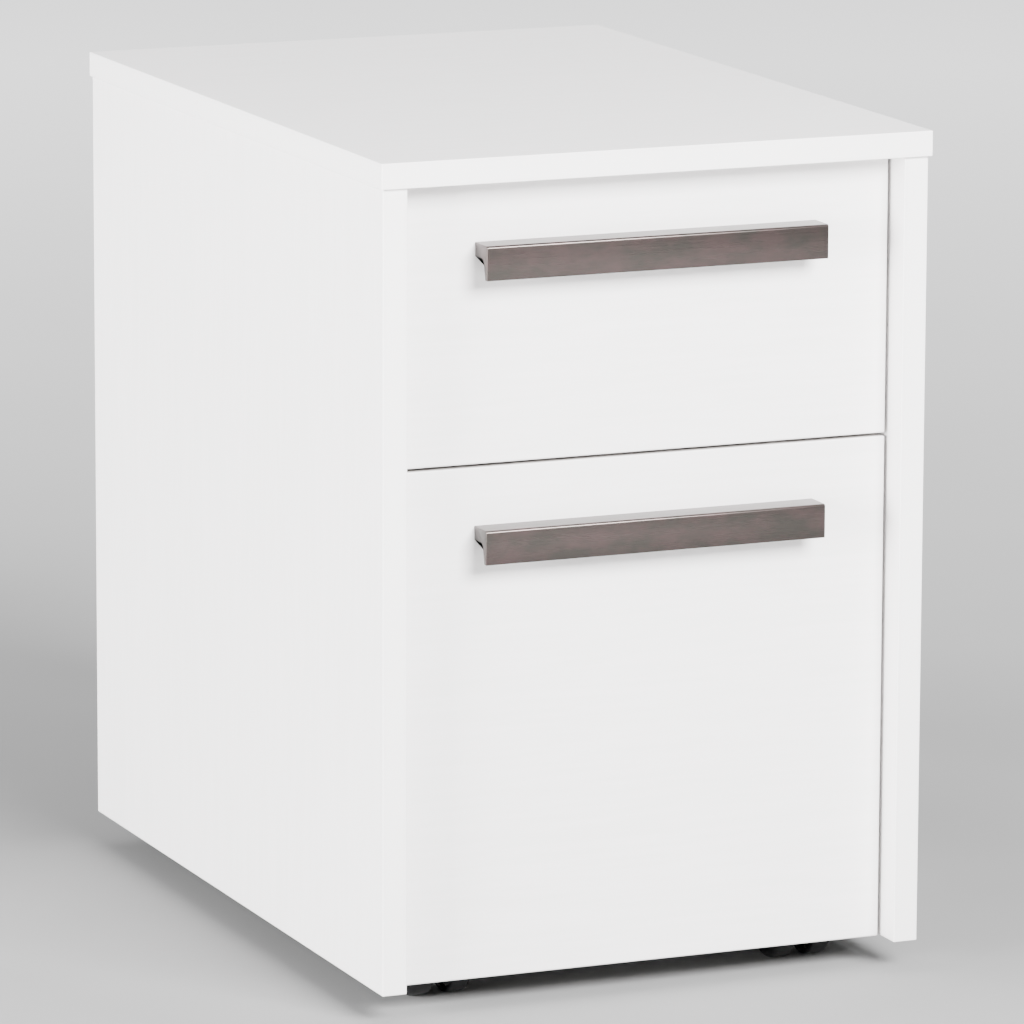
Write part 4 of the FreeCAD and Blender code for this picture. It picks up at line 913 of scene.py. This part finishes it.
@dataclass
class Castor:
    """One twin-wheel castor: body, axle and two domed wheels."""

    spot: str
    palette: Palette
    crown: float = 6.0 * MM
    shoulder: float = 3.5 * MM
    shoulder_reach: float = 1.2 * MM
    shoulder_end: float = 28.0
    bore: float = 3.05 * MM
    bore_share: float = 0.6
    bore_edge: float = 0.4 * MM
    hollow_depth: float = 2.5 * MM
    hollow_floor: tuple[float, float] = (0.34, 0.80)
    hollow_mouth: tuple[float, float] = (0.30, 0.84)
    inner_edge: float = 1.0 * MM
    groove: float = 0.39
    groove_walls: tuple[float, float, float, float] = (0.42, 0.40, 0.38, 0.36)
    groove_depth: float = 0.5 * MM
    groove_width: float = 0.8 * MM
    steps: int = 96
    edge_steps: int = 5
    shoulder_steps: int = 7
    dome_steps: int = 14
    hub_steps: int = 8

    def wheel_profile(self, width: float, radius: float) -> np.ndarray:
        """The wheel's outline from its axle hole round the tread to the middle of its dome.

        The dome is an arc whose centre is on the axle. With crown c and radius R its own radius is
        (R^2 + c^2) / 2c. A ring groove near the hub lowers it by its depth times
        exp(-((r - groove) / groove width)^2).

        Args:
            width: wheel width at the hub.
            radius: tread radius.

        Returns:
            Rows of (distance from the inner face, radius).
        """
        dome = (radius ** 2 + self.crown ** 2) / (2 * self.crown)
        hole_end = self.bore_share * width
        inner_floor, outer_floor = (share * radius for share in self.hollow_floor)
        inner_mouth, outer_mouth = (share * radius for share in self.hollow_mouth)
        inside = np.array([
            (hole_end, 0.0),
            (hole_end, self.bore),
            (self.bore_edge, self.bore),
            (0.0, self.bore + self.bore_edge),
            (0.0, inner_mouth),
            (self.hollow_depth, inner_floor),
            (self.hollow_depth, outer_floor),
            (0.0, outer_mouth),
        ])
        edge = arc((self.inner_edge, radius - self.inner_edge), self.inner_edge, 180, 90, self.edge_steps)
        tread_end = width - self.crown - self.shoulder + self.shoulder_reach
        middle = (tread_end, radius - self.shoulder)
        round_over = arc(middle, self.shoulder, 90, self.shoulder_end, self.shoulder_steps)
        first, second, third, last = (share * radius for share in self.groove_walls)
        outer = np.linspace(round_over[-1, 1] - self.groove_width, first, self.dome_steps)
        r = np.concatenate([outer, [second, third], np.linspace(last, 0.0, self.hub_steps)])
        x = width - dome + np.sqrt(dome ** 2 - r ** 2)
        x = x - self.groove_depth * np.exp(-(((r - self.groove * radius) / self.groove_width) ** 2))
        return np.concatenate([inside, edge, round_over, np.column_stack([x, r])])

    def build_wheel(self, side: str) -> bpy.types.Object:
        """Makes one wheel where its CAD node is and hides the node.

        Args:
            side: "left" or "right", the wheel's place on the castor.

        Returns:
            The wheel.
        """
        node = f"{self.spot}_castor_{side}_wheel"
        low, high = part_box(node)
        sign = 1 if side == "right" else -1
        radius = (high.z - low.z) / 2
        inner = low.x if sign > 0 else high.x
        centre = (inner, (low.y + high.y) / 2, (low.z + high.z) / 2)
        points, faces = turned(self.wheel_profile(high.x - low.x, radius), centre, self.steps, sign)
        piece = make_piece(f"{self.spot}_{side}_domed_wheel", points, faces, self.palette.wheel)
        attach(piece, node)
        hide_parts(node)
        LOG.info("%s: %d faces", piece.name, len(piece.data.polygons))
        return piece

    def build(self) -> None:
        """Dresses the body and axle and makes both wheels."""
        dress(f"{self.spot}_castor_body", self.palette.castor)
        dress(f"{self.spot}_castor_axle", self.palette.axle)
        for side in ("left", "right"):
            self.build_wheel(side)
        LOG.info("%s castor dressed", self.spot)


# ---- stage, lights and camera ----


@dataclass(frozen=True)
class StudioPaper(Finish):
    """Matt paper of the floor, with a painted shade that darkens it round the object and pales away from it.
    """

    far: str = "F2F2F2"
    painted_shade_start: float = 0.4
    reach: float = 4.4
    fibre_frequency: float = 2.5
    fibre_share: float = 0.04

    def build(self) -> bpy.types.Material:
        """Makes the material.

        Returns:
            The finished material.
        """
        material, tree, shader, coords = self.start()
        far_off = add_node(tree, "ShaderNodeVectorMath", {0: coords}, operation="LENGTH")
        # Painted shade: the floor's colour is darkest near the object and pales to the far tone with distance
        # from it
        painted_shade_fade = self.spread(tree, far_off.outputs["Value"], 0.0, 1.0, (self.painted_shade_start, self.reach))
        fibre = self.noise(tree, coords, (self.fibre_frequency,) * 3, 2.0)
        near = self.blend(tree, self.spread(tree, fibre, 0.0, self.fibre_share), self.colour, self.far)
        tree.links.new(self.blend(tree, painted_shade_fade, near, self.far), shader.inputs["Base Color"])
        return material


@dataclass(frozen=True)
class Softbox:
    """A rectangular white soft light: its place, the point it looks at, its size and its watts."""

    name: str
    place: tuple[float, float, float]
    aim: tuple[float, float, float]
    size: tuple[float, float]
    power: float

    def build(self) -> None:
        """Adds the light to the scene."""
        lamp = bpy.data.lights.new(self.name, "AREA")
        lamp.shape = "RECTANGLE"
        lamp.size, lamp.size_y = self.size
        lamp.energy = self.power
        item = bpy.data.objects.new(self.name, lamp)
        item.location = self.place
        way = Vector(self.aim) - Vector(self.place)
        item.rotation_euler = way.to_track_quat("-Z", "Y").to_euler()
        bpy.context.scene.collection.objects.link(item)


@dataclass
class Studio:
    """Pale floor, soft lights and the world's fill."""

    floor_radius: float = 45.0
    first_ring: float = 0.5
    ring_count: int = 10
    floor_steps: int = 64
    world_colour: str = "DADADB"
    world_strength: float = 1.05
    lights: tuple[Softbox, ...] = (
        Softbox("key", (0.65, -3.05, 2.15), (0.0, 0.0, 0.35), (1.7, 1.3), 550),
        Softbox("left_fill", (-3.2, -0.9, 0.75), (0.0, 0.0, 0.35), (1.6, 1.3), 480),
        Softbox("back_wash", (1.4, 3.9, 3.3), (1.4, 3.9, 0.0), (4.0, 3.0), 170),
    )

    def build_floor(self) -> None:
        """Makes the floor: a disc of rings, point (q cos t, q sin t, 0) for q up to the radius."""
        spaced = np.geomspace(self.first_ring, self.floor_radius, self.ring_count)
        rings = np.concatenate([[0.0], spaced])
        t = np.linspace(0, 2 * math.pi, self.floor_steps, endpoint=False)
        x = rings[:, None] * np.cos(t)
        y = rings[:, None] * np.sin(t)
        points = np.stack([x, y, np.zeros_like(x)], axis=-1).reshape(-1, 3)
        faces = grid_faces(len(rings), len(t), True)
        # 7C7C7C is the painted shade's darkest tone near the object; the far floor is F2F2F2
        paper = StudioPaper("studio_paper_painted_shade", "7C7C7C", 0.9).build()
        floor = make_piece("floor", points, faces, paper, smooth=False)

    def build_world(self) -> None:
        """Makes the even light that comes from all round."""
        world = bpy.data.worlds.new("studio")
        world.use_nodes = True
        world.node_tree.nodes.clear()
        back = add_node(world.node_tree, "ShaderNodeBackground", {
            "Color": linear(self.world_colour),
            "Strength": self.world_strength,
        })
        add_node(world.node_tree, "ShaderNodeOutputWorld", {"Surface": back.outputs[0]})
        bpy.context.scene.world = world

    def build(self) -> None:
        """Makes the floor, the world and the lights."""
        self.build_floor()
        self.build_world()
        for light in self.lights:
            light.build()
        LOG.info("studio: floor and %d soft lights", len(self.lights))


@dataclass
class Camera:
    """The view: from the front left and above, through a long lens."""

    azimuth: float = -22.93
    elevation: float = 11.51
    roll: float = 0.22
    distance: float = 5.4244
    aim: tuple[float, float, float] = (0.0131, 0.0, 0.2907)
    lens: float = 262.37
    sensor: float = 36.0

    def build(self) -> None:
        """Makes the camera and gives it to the scene."""
        a, e = math.radians(self.azimuth), math.radians(self.elevation)
        back = Vector((math.sin(a) * math.cos(e), -math.cos(a) * math.cos(e), math.sin(e)))
        data = bpy.data.cameras.new("view")
        data.lens = self.lens
        data.sensor_width = self.sensor
        data.clip_end = 200.0
        item = bpy.data.objects.new("view", data)
        item.location = Vector(self.aim) + back * self.distance
        level = (-back).to_track_quat("-Z", "Y")
        item.rotation_mode = "QUATERNION"
        item.rotation_quaternion = Quaternion(back, math.radians(self.roll)) @ level
        bpy.context.scene.collection.objects.link(item)
        bpy.context.scene.camera = item
        LOG.info("camera: %.1f mm lens at %.2f m", self.lens, self.distance)


def main() -> None:
    """Builds every sub-assembly in order, then the stage."""
    logging.basicConfig(level=logging.INFO, format="%(name)s %(message)s")
    palette = Palette()
    Carcass(palette).build()
    for name in ("upper", "lower"):
        Drawer(name, palette).build()
    dress("file_rails", palette.rail)
    dress("castor_plates", palette.axle)
    for end in ("front", "back"):
        for side in ("left", "right"):
            Castor(f"{end}_{side}", palette).build()
    Studio().build()
    Camera().build()


if __name__ == "__main__":
    main()
